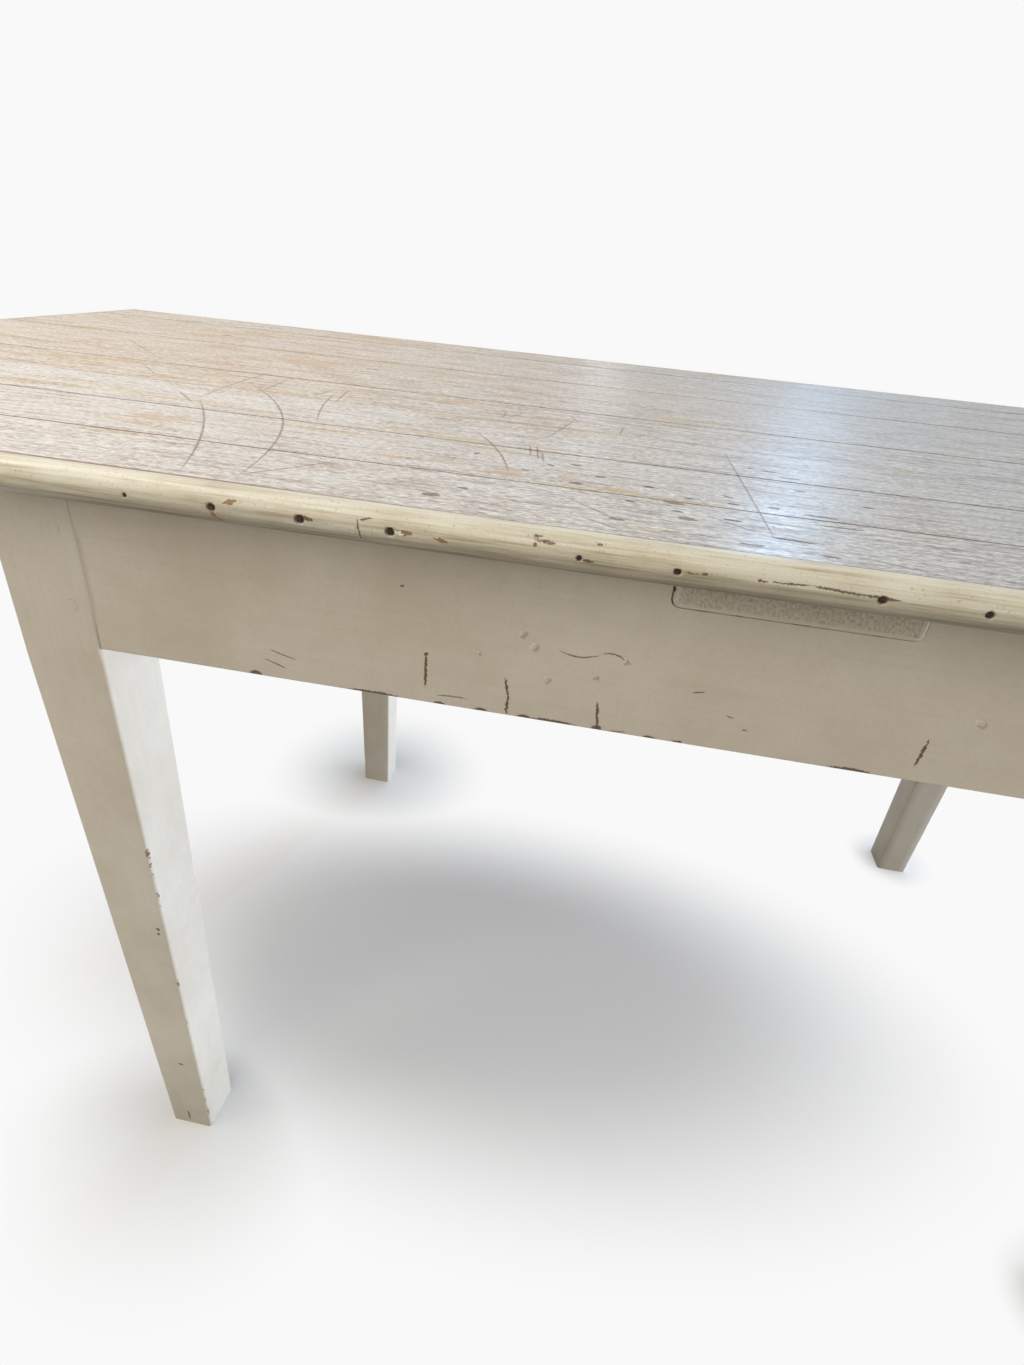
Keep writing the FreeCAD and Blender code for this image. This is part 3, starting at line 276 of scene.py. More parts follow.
# Dents where chair backs lean, each with a painted highlight above and painted shade below: X, height and
# half sizes
DENTS = ((-154.4, 690.0, 2.0, 3.0), (-146.6, 682.0, 2.4, 3.2), (-136.6, 660.5, 2.6, 3.2),
         (-89.6, 681.8, 1.8, 2.4), (-106.3, 667.6, 2.0, 1.8), (-181.0, 672.0, 1.6, 1.4),
         (120.0, 676.0, 3.6, 2.6))
# The dark patch, down and to the right, is painted shade; the pale one, up and to the left, is a painted
# highlight over the sunk dent
for aside, shade, depth, cover in ((1.0, "#8b7f6b", 0.0, 0.5), (-0.7, "#e8e4dc", 0.6, 0.5)):
    scarred(apron_paint, [
        ((x + aside, APRON_FACE, z - aside), (0, 25, 0), (wide, 6.0, tall)) for x, z, wide, tall in DENTS
    ], wobble=1.0, shade=shade, depth=depth, cover=cover)
laid(apron_paint)
settle(worked("apron_front", slices=(20.0, 0.0, 20.0), hollow=0.35), "apron_front_board", apron_paint,
       "table", ["apron_front"])

end_paint = greige_paint("greige_paint_on_end_aprons", brush=(2.4, 110.0, 2.4))
END_FACE, END_ARRIS = 509.0, 628.5
# Chips along the lower arris: the end, Y and half length
scarred(end_paint, [
    ((end * END_FACE, y, END_ARRIS), (0, 0, 0), (4.0, half, 2.2)) for end, y, half in (
        (1, -180.0, 14.0), (1, 96.0, 10.0), (1, 240.0, 8.0),
        (-1, -220.0, 10.0), (-1, 40.0, 16.0), (-1, 190.0, 8.0))
], wobble=1.0, shade="#5c4a38", depth=0.4, cover=0.8)
laid(end_paint)
for apron in ("apron_left", "apron_right"):
    settle(worked(apron, slices=(0.0, 20.0, 20.0), hollow=0.35), f"{apron}_board", end_paint, "table",
           [apron])


# Pegs: shaved eight-sided wooden pins, driven through the legs and the tenons of the frame.
# They are cut off flush and painted over with the legs.
def dress(nodes, look):
    """Give a finish to nodes that keep their own shape."""
    for name in nodes:
        cad[name].data.materials.clear()
        cad[name].data.materials.append(look.material)


dress(["joint_pegs"], leg_paint)


# Drawer rails and muntin: the frame of the drawer openings, dovetailed and tenoned into the back legs.
# Painted with the aprons, the rails along their length and the muntin upright.
rail_paint = greige_paint("greige_paint_on_rails", brush=(110.0, 2.4, 2.4))
RAIL_MIDDLE, OPENING_LOW, OPENING_HIGH = 340.0, 648.0, 728.0
# Drawers rub paint off above the lower rail and under the upper one: X, height and half length
scarred(rail_paint, [
    ((x, RAIL_MIDDLE, z), (0, 0, 0), (half, 24.0, 1.6)) for x, z, half in (
        (-330.0, OPENING_LOW, 80.0), (-120.0, OPENING_LOW, 60.0), (150.0, OPENING_LOW, 90.0),
        (360.0, OPENING_LOW, 50.0), (-240.0, OPENING_HIGH, 70.0), (230.0, OPENING_HIGH, 60.0))
], wobble=4.0, shade="#9c8360", depth=0.1, cover=0.7)
laid(rail_paint)
for rail in ("drawer_rail_top", "drawer_rail_bottom"):
    settle(worked(rail, slices=(20.0, 0.0, 0.0), hollow=0.25), f"{rail}_bar", rail_paint, "table",
           [rail])
settle(worked("drawer_muntin", slices=(0.0, 0.0, 16.0), hollow=0.25), "drawer_muntin_post", leg_paint,
       "table", ["drawer_muntin"])


# Runners, guides and stops: plain planed pine inside the frame, nailed and housed, never painted.
# The drawers slide on the runners between the guides and close against the stops.
def bare_pine(name, grain):
    """Planed pine left bare and darkened by age: ochre bands of early and late wood, with fine pores.

    grain is the size of a fibre along X, Y and Z in mm, drawn about three times as wide as real ones.
    """
    look = finish(name)
    tree, mm = look.tree, look.mm
    wander = add(tree, "TexNoise", {"Vector": mm, "Scale": 1 / 120, "Detail": 1.0})
    wander = add(tree, "VectorMath", {0: wander.outputs["Color"], "Scale": 30.0}, "SCALE")
    strayed = add(tree, "VectorMath", {0: mm, 1: wander}, "ADD")
    fibre = add(tree, "VectorMath", {0: strayed, 1: grain}, "DIVIDE")
    fibres = add(tree, "TexNoise", {"Vector": fibre, "Scale": 1.0, "Detail": 3.0})
    band = add(tree, "VectorMath", {0: fibre, "Scale": 0.13}, "SCALE")
    bands = add(tree, "TexNoise", {"Vector": band, "Scale": 1.0, "Detail": 2.0})
    blended = add(tree, "Math", {0: fibres, 1: 0.4, 2: bands}, "MULTIPLY_ADD")
    wood = add(tree, "ValToRGB", {0: blended}, stops=((0.45, "#96714a"), (0.95, "#cba878")))
    feed(tree, look.shader, {"Roughness": 0.62})
    height = add(tree, "Math", {0: fibres, 1: 0.18}, "MULTIPLY")
    look.colour, look.height = wood, height
    laid(look)
    return look


pine_along_y = bare_pine("bare_pine_lengthwise", grain=(2.2, 70.0, 2.2))
dress([f"drawer_{strip}_{side}" for strip in ("runner", "guide") for side in ("left", "centre", "right")],
      pine_along_y)
pine_along_x = bare_pine("bare_pine_crosswise", grain=(70.0, 2.2, 2.2))
dress(["drawer_stops"], pine_along_x)


# Battens and kickers: flat pine pieces under the planks that tie the top together and keep it down.
# The middle batten runs through a notch in the front apron, and its sawn end there is thick with paint.
dress(("batten_left", "batten_right", "kicker_left", "kicker_right"), pine_along_y)
BATTEN_END, BATTEN_SIDE, BATTEN_LOW, BATTEN_HIGH = -359.0, 70.0, 722.0, 748.0
sawn_paint = greige_paint("greige_paint_on_sawn_end", brush=(2.6, 60.0, 5.0))
tree = sawn_paint.tree
# Painted shade: the hollows between the pebbles of paint are darkened, the more the deeper they sink
hollow = add(tree, "Attribute", attribute_name="hollow")
hollow_shade = add(tree, "MapRange", {
    "Value": hollow.outputs["Fac"], "From Min": 0.15, "From Max": 0.8, "To Max": 0.6})
sawn_paint.colour = add(tree, "Mix", {
    "Factor": hollow_shade, "A": sawn_paint.colour, "B": "#b5a492"}, data_type="RGBA")
# Paint has cracked along the joint with the apron: X, height and half sizes
scarred(sawn_paint, [
    ((x, BATTEN_END + 2.0, z), (0, 0, 0), (half, 4.0, deep)) for x, z, half, deep in (
        (-70.5, 733.0, 1.6, 1.6), (-52.0, BATTEN_LOW, 5.0, 0.8), (-31.0, BATTEN_LOW, 3.0, 1.0),
        (4.0, BATTEN_LOW, 7.0, 0.8), (46.0, BATTEN_LOW, 4.0, 0.9))
], wobble=0.6, shade="#3d3124", depth=0.4, cover=0.9)
laid(sawn_paint)
PEBBLE_WIDTH, PEBBLE_HEIGHT, PEBBLE_DEPTH = 1.1, 1.8, 1.2
RIM_WIDTH, RIM_SLOPE = 3.0, 0.8
bm = worked("batten_centre", slices=(0.0, 40.0, 0.0), hollow=0.0)
# The sawn end stands up in upright pebbles of paint over the open pores, finely sliced to hold them
for axis, low, high, pitch in ((0, -BATTEN_SIDE, BATTEN_SIDE, 0.55), (2, BATTEN_LOW, BATTEN_HIGH, 0.75)):
    across = Matrix.Identity(3)[axis]
    for step in range(1, round((high - low) / pitch)):
        end = [face for face in bm.faces if face.calc_center_median().y < (BATTEN_END + 0.3) * MM]
        around = {part for face in end for part in (*face.edges, *face.verts)}
        bmesh.ops.bisect_plane(
            bm, geom=end + list(around), dist=1e-6, plane_co=across * (low + step * pitch) * MM,
            plane_no=across)
sunk = bm.verts.layers.float.new("hollow")
for vert in bm.verts:
    if vert.co.y < (BATTEN_END + 0.1) * MM:
        at = Vector((vert.co.x / PEBBLE_WIDTH, 0.0, vert.co.z / PEBBLE_HEIGHT)) / MM
        inset = min(BATTEN_SIDE - abs(vert.co.x) / MM, vert.co.z / MM - BATTEN_LOW) - RIM_WIDTH
        lows = 0.4 - 1.1 * noise.noise(at) - 0.3 * noise.noise(at * 2.3)
        vert[sunk] = min(max(lows, 0.0), 1.0) * max(min(inset, RIM_SLOPE) / RIM_SLOPE, 0.2)
        vert.co.y += vert[sunk] * PEBBLE_DEPTH * MM
settle(bm, "batten_centre_board", sawn_paint, "table", ["batten_centre"], crease=70)


# Top: nine pine planks, tongued and grooved, cramped together and cupped a little with age.
# A thin grey-white paint is worn down along the grain, cut by crockery and rubbed to ochre wood in spots.
PLANK_PITCH, FIRST_SEAM, PLANK_GAP = 88.5, -309.75, 0.4
PLANK_EDGE, PLANK_END = 388.0, 888.0
TOP_LEVEL, TOP_UNDER = 770.0, 748.0
TONGUE_LENGTH, TONGUE_HALF, TONGUE_FIT = 6.0, 3.5, 0.3
PLANK_EASE, PLANK_CUP, PLANK_WAVE = 0.8, 0.22, 0.2
PLANK_STEPS, PLANK_CUTS = 48, 7


def drawn_along(bm, ring, stations, axis):
    """Draw a closed ring of edges along an axis through stations in metres, and close both ends."""
    bmesh.ops.edgeloop_fill(bm, edges=ring)
    for station in stations:
        grown = bmesh.ops.extrude_edge_only(bm, edges=ring)["geom"]
        fresh = {part for part in grown if isinstance(part, bmesh.types.BMVert)}
        for vert in fresh:
            vert.co[axis] = station
        ring = [part for part in grown if isinstance(part, bmesh.types.BMEdge) and set(part.verts) <= fresh]
    bmesh.ops.edgeloop_fill(bm, edges=ring)
    bmesh.ops.recalc_face_normals(bm, faces=bm.faces)


def plank(number, low, high):
    """One plank between its two edges, grooved along the front one and tongued along the back one."""
    middle = (TOP_LEVEL + TOP_UNDER) / 2
    groove_half = TONGUE_HALF + TONGUE_FIT / 2
    groove_depth = TONGUE_LENGTH + TONGUE_FIT
    section = [(low, TOP_LEVEL)]
    if number > 1:
        section += [(low, middle + groove_half), (low + groove_depth, middle + groove_half),
                    (low + groove_depth, middle - groove_half), (low, middle - groove_half)]
    section += [(low, TOP_UNDER), (high, TOP_UNDER)]
    if number < 9:
        section += [(high, middle - TONGUE_HALF), (high + TONGUE_LENGTH, middle - TONGUE_HALF),
                    (high + TONGUE_LENGTH, middle + TONGUE_HALF), (high, middle + TONGUE_HALF)]
    section.append((high, TOP_LEVEL))
    bm = bmesh.new()
    corners = [bm.verts.new((-PLANK_END * MM, y * MM, z * MM)) for y, z in section]
    ring = [bm.edges.new((corners[at - 1], corners[at])) for at in range(len(corners))]
    bmesh.ops.subdivide_edges(bm, edges=ring[:1], cuts=PLANK_CUTS)
    stations = [
        (-PLANK_END + 2 * PLANK_END / PLANK_STEPS * step) * MM for step in range(1, PLANK_STEPS + 1)]
    drawn_along(bm, bm.edges[:], stations, 0)
    arrises = [
        edge for edge in bm.edges
        if all(vert.co.z > (TOP_LEVEL - 0.01) * MM for vert in edge.verts)
        and all(min(vert.co.y / MM - low, high - vert.co.y / MM) < 0.01 for vert in edge.verts)]
    bmesh.ops.bevel(bm, geom=arrises, offset=PLANK_EASE * MM, offset_type="OFFSET", affect="EDGES",
                    segments=2, profile=0.5, material=-1)
    # Odd planks have hollowed and even ones crowned, and all wave a little where the plane jumped
    for vert in bm.verts:
        if vert.co.z > (TOP_LEVEL - 1.5) * MM:
            from_middle = abs(vert.co.y / MM - (low + high) / 2) / (high - low) * 2
            cup = 1 - from_middle ** 2 if number % 2 else from_middle ** 2
            wave = 0.5 + 0.5 * noise.noise((vert.co.x * 5.0, vert.co.y * 14.0, number * 7.0))
            vert.co.z -= (PLANK_CUP * cup + PLANK_WAVE * wave) * MM
    return bm


def strokes(lines, half_width):
    """Marks on the top for scratches, each from one point of X and Y to another, bent through a third."""
    marks = []
    for (x1, y1), (x2, y2), *through in lines:
        length = math.hypot(x2 - x1, y2 - y1)
        turn = math.atan2(y2 - y1, x2 - x1)
        x, y = through[0] if through else ((x1 + x2) / 2, (y1 + y2) / 2)
        sag = (y1 - y) * math.cos(turn) - (x1 - x) * math.sin(turn)
        marks.append((x, y, math.degrees(turn), length * 0.55, half_width, sag))
    return marks


# Marks on the top by kind, each with X, Y, turn in degrees and half sizes along and across it
STAINS = [
    (-184.6, -292.0, 0, 17.0, 9.0), (-109.0, -300.0, 0, 17.0, 8.0), (-144.0, -286.0, 0, 8.0, 7.0),
    (-76.0, -312.0, 0, 9.0, 4.0), (-437.0, -262.0, 0, 30.0, 14.0), (-262.0, -289.0, 0, 9.0, 5.0),
    (-463.0, 60.0, 0, 34.0, 26.0), (-495.0, -72.0, 0, 26.0, 14.0)]
BARE_SPOTS = [
    (-214.0, -359.7, 4, 6.0, 4.0), (-200.0, -339.0, 8, 4.0, 2.6), (-137.0, -297.0, 0, 5.0, 3.6),
    (-76.7, -313.5, -6, 7.5, 3.2), (-69.5, -342.1, 0, 6.8, 3.8), (-109.0, -360.0, 0, 5.0, 2.0),
    (2.5, -376.5, 0, 6.0, 2.0), (-37.6, -373.6, 0, 7.0, 2.4), (-14.9, -295.5, 0, 4.0, 2.6),
    (310.0, -240.0, 10, 6.0, 4.0), (522.0, 36.0, 0, 7.0, 4.0), (-640.0, 210.0, 0, 6.0, 4.0)]
KNIFE_DASHES = [
    (-141.0, -250.7, 0, 4.4, 2.2), (-123.3, -273.8, 0, 4.0, 2.0), (-157.9, -258.8, -30, 3.2, 1.6),
    (-171.7, -280.2, 0, 3.0, 1.5), (-91.5, -283.5, 0, 4.4, 2.2), (-102.7, -321.2, -12, 3.6, 1.6),
    (-75.0, -329.6, -14, 4.0, 1.5), (-40.0, -298.6, 0, 4.4, 1.8), (-42.0, -283.0, -35, 4.2, 1.5),
    (-67.0, -298.2, 0, 3.6, 1.6), (-43.8, -333.0, -4, 6.0, 1.8), (-17.5, -193.3, 30, 3.2, 1.9),
    (-5.0, -196.6, 0, 7.0, 2.0), (8.0, -211.0, 0, 8.0, 1.7), (9.3, -245.4, 0, 4.2, 1.8),
    (12.0, -302.0, -2, 11.0, 1.7), (-13.4, -356.7, -3, 13.0, 1.6), (48.0, -266.4, 0, 4.4, 1.9),
    (-210.0, -252.3, 62, 3.6, 1.3), (20.0, -320.0, 2, 14.0, 1.4), (-395.0, 67.0, 0, 8.0, 2.4),
    (238.0, -190.0, 0, 9.0, 1.8), (420.0, -310.0, 4, 8.0, 1.8), (-704.0, -120.0, 0, 9.0, 1.8)]
# Brown arcs left by hot pans, and strokes of knives across the grain
BROWN_ARCS = strokes([
    ((-472.4, -82.6), (-331.0, -384.0), (-362.8, -226.2)),
    ((-452.0, -190.0), (-352.2, -386.8), (-395.0, -281.0)),
    ((-451.6, -198.4), (-463.9, -33.5), (-463.0, -108.0)), ((-483.9, -163.7), (-448.6, -201.9)),
    ((-374.0, -84.0), (-341.2, -212.0), (-362.0, -150.0)), ((-384.1, -122.4), (-380.1, -80.0)),
    ((-357.4, -137.9), (-369.2, -71.2)), ((-427.4, -136.1), (-436.3, -52.9)),
    ((-577.8, -66.1), (-537.5, -109.4)), ((-322.1, -369.5), (-284.4, -315.8)),
    ((-232.7, -171.9), (-183.0, -292.0), (-200.0, -232.0)), ((-216.6, -116.9), (-217.5, -89.6)),
    ((-213.2, -114.6), (-202.4, -84.8)), ((-142.1, -328.6), (-105.8, -362.9)),
    ((-127.9, -363.9), (-103.6, -379.5)), ((-171.2, -174.6), (-155.1, -81.0)),
    ((-162.2, -68.8), (-153.8, -96.4)), ((-179.3, -208.3), (-174.4, -240.0)),
    ((-174.5, -205.0), (-167.8, -248.0)), ((-168.1, -224.6), (-163.6, -253.5)),
    ((-116.1, -127.3), (-113.6, -91.2))], 0.9)
KNIFE_STROKES = strokes([
    ((-32.5, -142.6), (-23.7, -355.9)), ((15.5, -369.8), (60.0, -384.0)),
    ((-58.0, -330.0), (-30.0, -352.0)), ((330.0, -60.0), (372.0, -180.0)),
    ((-690.0, 80.0), (-600.0, -10.0))], 0.9)
# Each kind's wobble, shade, depth in mm and cover
TOP_MARKS = ((STAINS, 5.0, "#c2a578", 0.0, 0.5), (BARE_SPOTS, 1.1, "#704e24", 0.3, 0.88),
             (KNIFE_DASHES, 0.5, "#3f2c1a", 0.4, 0.92), (BROWN_ARCS, 0.6, "#6f5238", 0.1, 0.7),
             (KNIFE_STROKES, 0.5, "#655a50", 0.2, 0.65))


def limed_pine(number, low, high):
    """Pine under thin grey-white paint: the grain shows in lines, and streaks are worn to the wood."""
    look = finish(f"limed_pine_{number}")
    tree, mm = look.tree, look.mm
    apart = add(tree, "SeparateXYZ", {0: mm})
    own = add(tree, "VectorMath", {0: mm, 1: (0.0, 0.0, 37.0 * number)}, "ADD")
    # Grain lines wander a little across the plank, about 4 mm over 300 mm
    wander = add(tree, "TexNoise", {"Vector": own, "Scale": 1 / 160, "Detail": 1.0})
    wander = add(tree, "VectorMath", {0: wander.outputs["Color"], 1: (0.0, 14.0, 0.0)}, "MULTIPLY")
    grained = add(tree, "VectorMath", {0: own, 1: wander}, "ADD")
    # Flecks of paint on the fibres are 1.4 mm by 5 mm, drawn coarser than real ones so that they show
    fibre = add(tree, "VectorMath", {0: grained, 1: (5.0, 1.4, 4.0)}, "DIVIDE")
    fibres = add(tree, "TexNoise", {"Vector": fibre, "Scale": 1.0, "Detail": 3.0, "Roughness": 0.7})
    # Worn streaks are 5 mm wide and 50 mm long
    streak = add(tree, "VectorMath", {0: grained, 1: (52.0, 4.6, 30.0)}, "DIVIDE")
    streaks = add(tree, "TexNoise", {"Vector": streak, "Scale": 1.0, "Detail": 5.0, "Roughness": 0.6})
    paint = add(tree, "ValToRGB", {
        0: streaks}, stops=((0.3, "#ad9e92"), (0.5, "#d4cec8"), (0.7, "#e6e3df")))
    # Bare ochre wood shows in patches where hands rub, most towards the -X end and the far planks
    patch = add(tree, "VectorMath", {0: grained, 1: (120.0, 24.0, 60.0)}, "DIVIDE")
    patches = add(tree, "TexNoise", {"Vector": patch, "Scale": 1.0, "Detail": 2.0})
    bare = add(tree, "VectorMath", {0: grained, 1: (70.0, 5.0, 21.0)}, "DIVIDE")
    bare = add(tree, "TexNoise", {"Vector": bare, "Scale": 1.0, "Detail": 4.0})
    rubbed = add(tree, "Math", {0: patches, 1: 0.9, 2: bare}, "MULTIPLY_ADD")
    kept = add(tree, "MapRange", {
        "Value": apart.outputs["X"], "From Min": -420.0, "From Max": 60.0, "To Max": 0.1})
    rubbed = add(tree, "Math", {0: rubbed, 1: kept}, "SUBTRACT")
    begin = 1.04 - 0.03 * min(number, 4)
    bare_mask = add(tree, "MapRange", {
        "Value": rubbed, "From Min": begin, "From Max": begin + 0.26, "To Max": 0.7})
    # Here the wood is yellow and there it is pink
    hue = add(tree, "MapRange", {"Value": patches, "From Min": 0.52, "From Max": 0.66})
    wood = add(tree, "Mix", {"Factor": hue, "A": "#b89b80", "B": "#c2a463"}, data_type="RGBA")
    tone = add(tree, "Mix", {"Factor": bare_mask, "A": paint, "B": wood}, data_type="RGBA")
    # Painted light: the top is tinted darker and bluer towards the window end at +X, and warm and pale
    # towards the -X end, nearly white there on the three front planks
    window_end_shading = add(tree, "MapRange", {"Value": apart.outputs["X"], "From Min": -480.0, "From Max": 160.0})
    yellowed = "#ece4d8" if number > 3 else "#f9f8f6"
    window_end_shading = add(tree, "Mix", {"Factor": window_end_shading, "A": yellowed, "B": "#c8d2dc"}, data_type="RGBA")
    toned = add(tree, "Mix", {"Factor": 1.0, "A": tone, "B": window_end_shading},
                data_type="RGBA", blend_type="MULTIPLY")
    fibre_grey = add(tree, "MapRange", {
        "Value": fibres, "From Min": 0.3, "From Max": 0.66, "To Min": 0.12, "To Max": 0.98})
    grey = add(tree, "CombineXYZ", {"X": fibre_grey, "Y": fibre_grey, "Z": fibre_grey})
    lined = add(tree, "Mix", {
        "Factor": 0.8, "A": toned, "B": grey}, data_type="RGBA", blend_type="OVERLAY")
    # Dirt has packed into the seams along both edges, most along the two front planks
    edge = add(tree, "Math", {0: apart.outputs["Y"], 1: (low + high) / 2}, "SUBTRACT")
    edge = add(tree, "Math", {0: edge}, "ABSOLUTE")
    packed = add(tree, "MapRange", {
        "Value": edge, "From Min": (high - low) / 2 - 1.3, "From Max": (high - low) / 2 - 0.6,
        "To Max": 0.95 if number < 3 else 0.5})
    lined = add(tree, "Mix", {"Factor": packed, "A": lined, "B": "#4a3329"}, data_type="RGBA")
    # A red-brown line of old varnish has stayed beside the front lipping, towards the -X end
    if number == 1:
        line = add(tree, "MapRange", {
            "Value": apart.outputs["Y"], "From Min": low + 2.4, "From Max": low + 3.6,
            "To Min": 0.85, "To Max": 0.0})
        gone = add(tree, "MapRange", {
            "Value": apart.outputs["X"], "From Min": -330.0, "From Max": -130.0,
            "To Min": 1.0, "To Max": 0.0})
        line = add(tree, "Math", {0: line, 1: gone}, "MULTIPLY")
        lined = add(tree, "Mix", {"Factor": line, "A": lined, "B": "#8c5c48"}, data_type="RGBA")
    # Dark pores and small nicks along the grain, 2 mm by 11 mm
    nick = add(tree, "VectorMath", {0: grained, 1: (11.0, 1.8, 9.0)}, "DIVIDE")
    nicks = add(tree, "TexNoise", {"Vector": nick, "Scale": 1.0, "Detail": 1.0})
    nicked = add(tree, "MapRange", {"Value": nicks, "From Min": 0.73, "From Max": 0.79, "To Max": 0.75})
    colour = add(tree, "Mix", {"Factor": nicked, "A": lined, "B": "#5d5249"}, data_type="RGBA")
    height = add(tree, "Math", {0: fibres, 1: 0.08}, "MULTIPLY")
    height = add(tree, "Math", {0: streaks, 1: 0.07, 2: height}, "MULTIPLY_ADD")
    height = add(tree, "Math", {0: nicked, 1: -0.25, 2: height}, "MULTIPLY_ADD")
    look.colour, look.height = colour, height
    for marks, wobble, shade, depth, cover in TOP_MARKS:
        here = []
        for x, y, turn, along, across, *sag in marks:
            reach = abs(math.sin(math.radians(turn))) * along + across + wobble
            if low < y + reach and y - reach < high:
                here.append(((x, y, TOP_LEVEL), (0, 0, turn), (along, across, 5.0), *sag))
        if here:
            scarred(look, here, wobble, shade, depth, cover)
    laid(look)
    gloss = add(tree, "MapRange", {
        "Value": streaks, "From Min": 0.3, "From Max": 0.7, "To Min": 0.42, "To Max": 0.25})
    feed(tree, look.shader, {"Roughness": gloss, "Specular IOR Level": 0.3})
    return look


for number in range(1, 10):
    front = -PLANK_EDGE if number == 1 else FIRST_SEAM + PLANK_PITCH * (number - 2) + PLANK_GAP / 2
    back = PLANK_EDGE if number == 9 else FIRST_SEAM + PLANK_PITCH * (number - 1) - PLANK_GAP / 2
    settle(plank(number, front, back), f"plank_{number}", limed_pine(number, front, back), "table",
           [f"top_plank_{number}"], crease=25)


# Nails in the top: square cut nails, driven up through the battens and kickers into the planks.
# Their heads have rusted brown.
rusted_steel = finish("rusted_steel")
tree = rusted_steel.tree
rust = add(tree, "TexNoise", {"Vector": rusted_steel.mm, "Scale": 1 / 1.6, "Detail": 3.0})
tone = add(tree, "ValToRGB", {0: rust}, stops=((0.35, "#1f1712"), (0.65, "#5a3a24")))
feed(tree, rusted_steel.shader, {"Roughness": 0.75, "Metallic": 0.3})
rusted_steel.colour, rusted_steel.height = tone, rust
laid(rusted_steel)
dress(["top_nails"], rusted_steel)


# Lipping: half-round pine strips, mitred at the corners and nailed round the edge of the planks.
# Painted cream and yellowed, with painted shade on the lower half, sunk rusty brads and chips where chairs
# have knocked it.
LIP_MIDDLE, LIP_FLAT, LIP_DINT = 759.0, 1.0, 0.25
MITRE_OVERRUN = 13.0
NOSE_STEPS = 36
SIDE_NAILS = [-875.0 + 50.0 * step for step in range(36)]
END_NAILS = [-338.0 + 676.0 / 14 * step for step in range(15)]
PIT_RADIUS, PIT_DEPTH = 2.2, 1.6
# Some brads are puttied over and don't show
PUTTIED = {2, 5, 9, 14, 17, 21, 26, 30, 33}


def lipping(half_length, edge, nails, turn):
    """One strip, drawn as the front one and turned to its side of the table by a number of right angles."""
    outside = edge + LIP_FLAT
    bm = bmesh.new()
    reach = half_length + MITRE_OVERRUN
    start = -reach * MM
    lip = bm.verts.new((start, -outside * MM, TOP_LEVEL * MM))
    bmesh.ops.spin(bm, geom=[lip], cent=(start, -outside * MM, LIP_MIDDLE * MM), axis=(1.0, 0.0, 0.0),
                   angle=math.pi, steps=NOSE_STEPS)
    below = min(bm.verts, key=lambda vert: vert.co.z)
    back_low = bm.verts.new((start, -edge * MM, TOP_UNDER * MM))
    back_high = bm.verts.new((start, -edge * MM, TOP_LEVEL * MM))
    for pair in ((below, back_low), (back_low, back_high), (back_high, lip)):
        bm.edges.new(pair)
    # Stations lie close together round each nail, for its pit
    near_nail = (-8.0, -3.2, -2.2, -1.4, -0.7, 0.0, 0.7, 1.4, 2.2, 3.2, 8.0, 17.0)
    stations = sorted({nail + offset for nail in nails for offset in near_nail} | {reach})
    drawn_along(bm, bm.edges[:], [station * MM for station in stations if station * MM > start], 0)
    for end in (-1, 1):
        cut = bmesh.ops.bisect_plane(
            bm, geom=bm.verts[:] + bm.edges[:] + bm.faces[:], dist=1e-7, clear_outer=True,
            plane_co=(end * half_length * MM, -edge * MM, 0.0),
            plane_no=Vector((end, 1.0, 0.0)).normalized())
        rim = [part for part in cut["geom_cut"] if isinstance(part, bmesh.types.BMEdge)]
        bmesh.ops.edgeloop_fill(bm, edges=rim)
    bmesh.ops.recalc_face_normals(bm, faces=bm.faces)
    # Only the round face is dinted and pitted
    pit = bm.verts.layers.float.new("pit")
    for vert in bm.verts:
        if vert.co.y > -(outside + 0.2) * MM:
            continue
        dint = 0.5 + 0.5 * noise.noise((vert.co.x * 30.0, vert.co.z * 60.0, turn * 5.0))
        outward = Vector((0.0, vert.co.y + outside * MM, vert.co.z - LIP_MIDDLE * MM)).normalized()
        vert.co -= outward * LIP_DINT * dint * MM
        for at, nail in enumerate(nails):
            off = math.hypot((vert.co.x / MM - nail) * 0.85, vert.co.z / MM - LIP_MIDDLE)
            off *= 1.0 + 0.9 * (dint - 0.5)
            wide = PIT_RADIUS * (1.0 + 0.5 * noise.noise((nail * 0.37, turn * 3.1, 0.5)))
            if at not in PUTTIED and off < wide and vert.co.y < -(outside + 8.0) * MM:
                vert[pit] = 1.0 - (off / wide) ** 4
                vert.co.y += PIT_DEPTH * vert[pit] * MM
    quarters = Matrix.Rotation(turn * math.pi / 2, 3, "Z")
    bmesh.ops.rotate(bm, verts=bm.verts, cent=(0.0, 0.0, 0.0), matrix=quarters)
    return bm


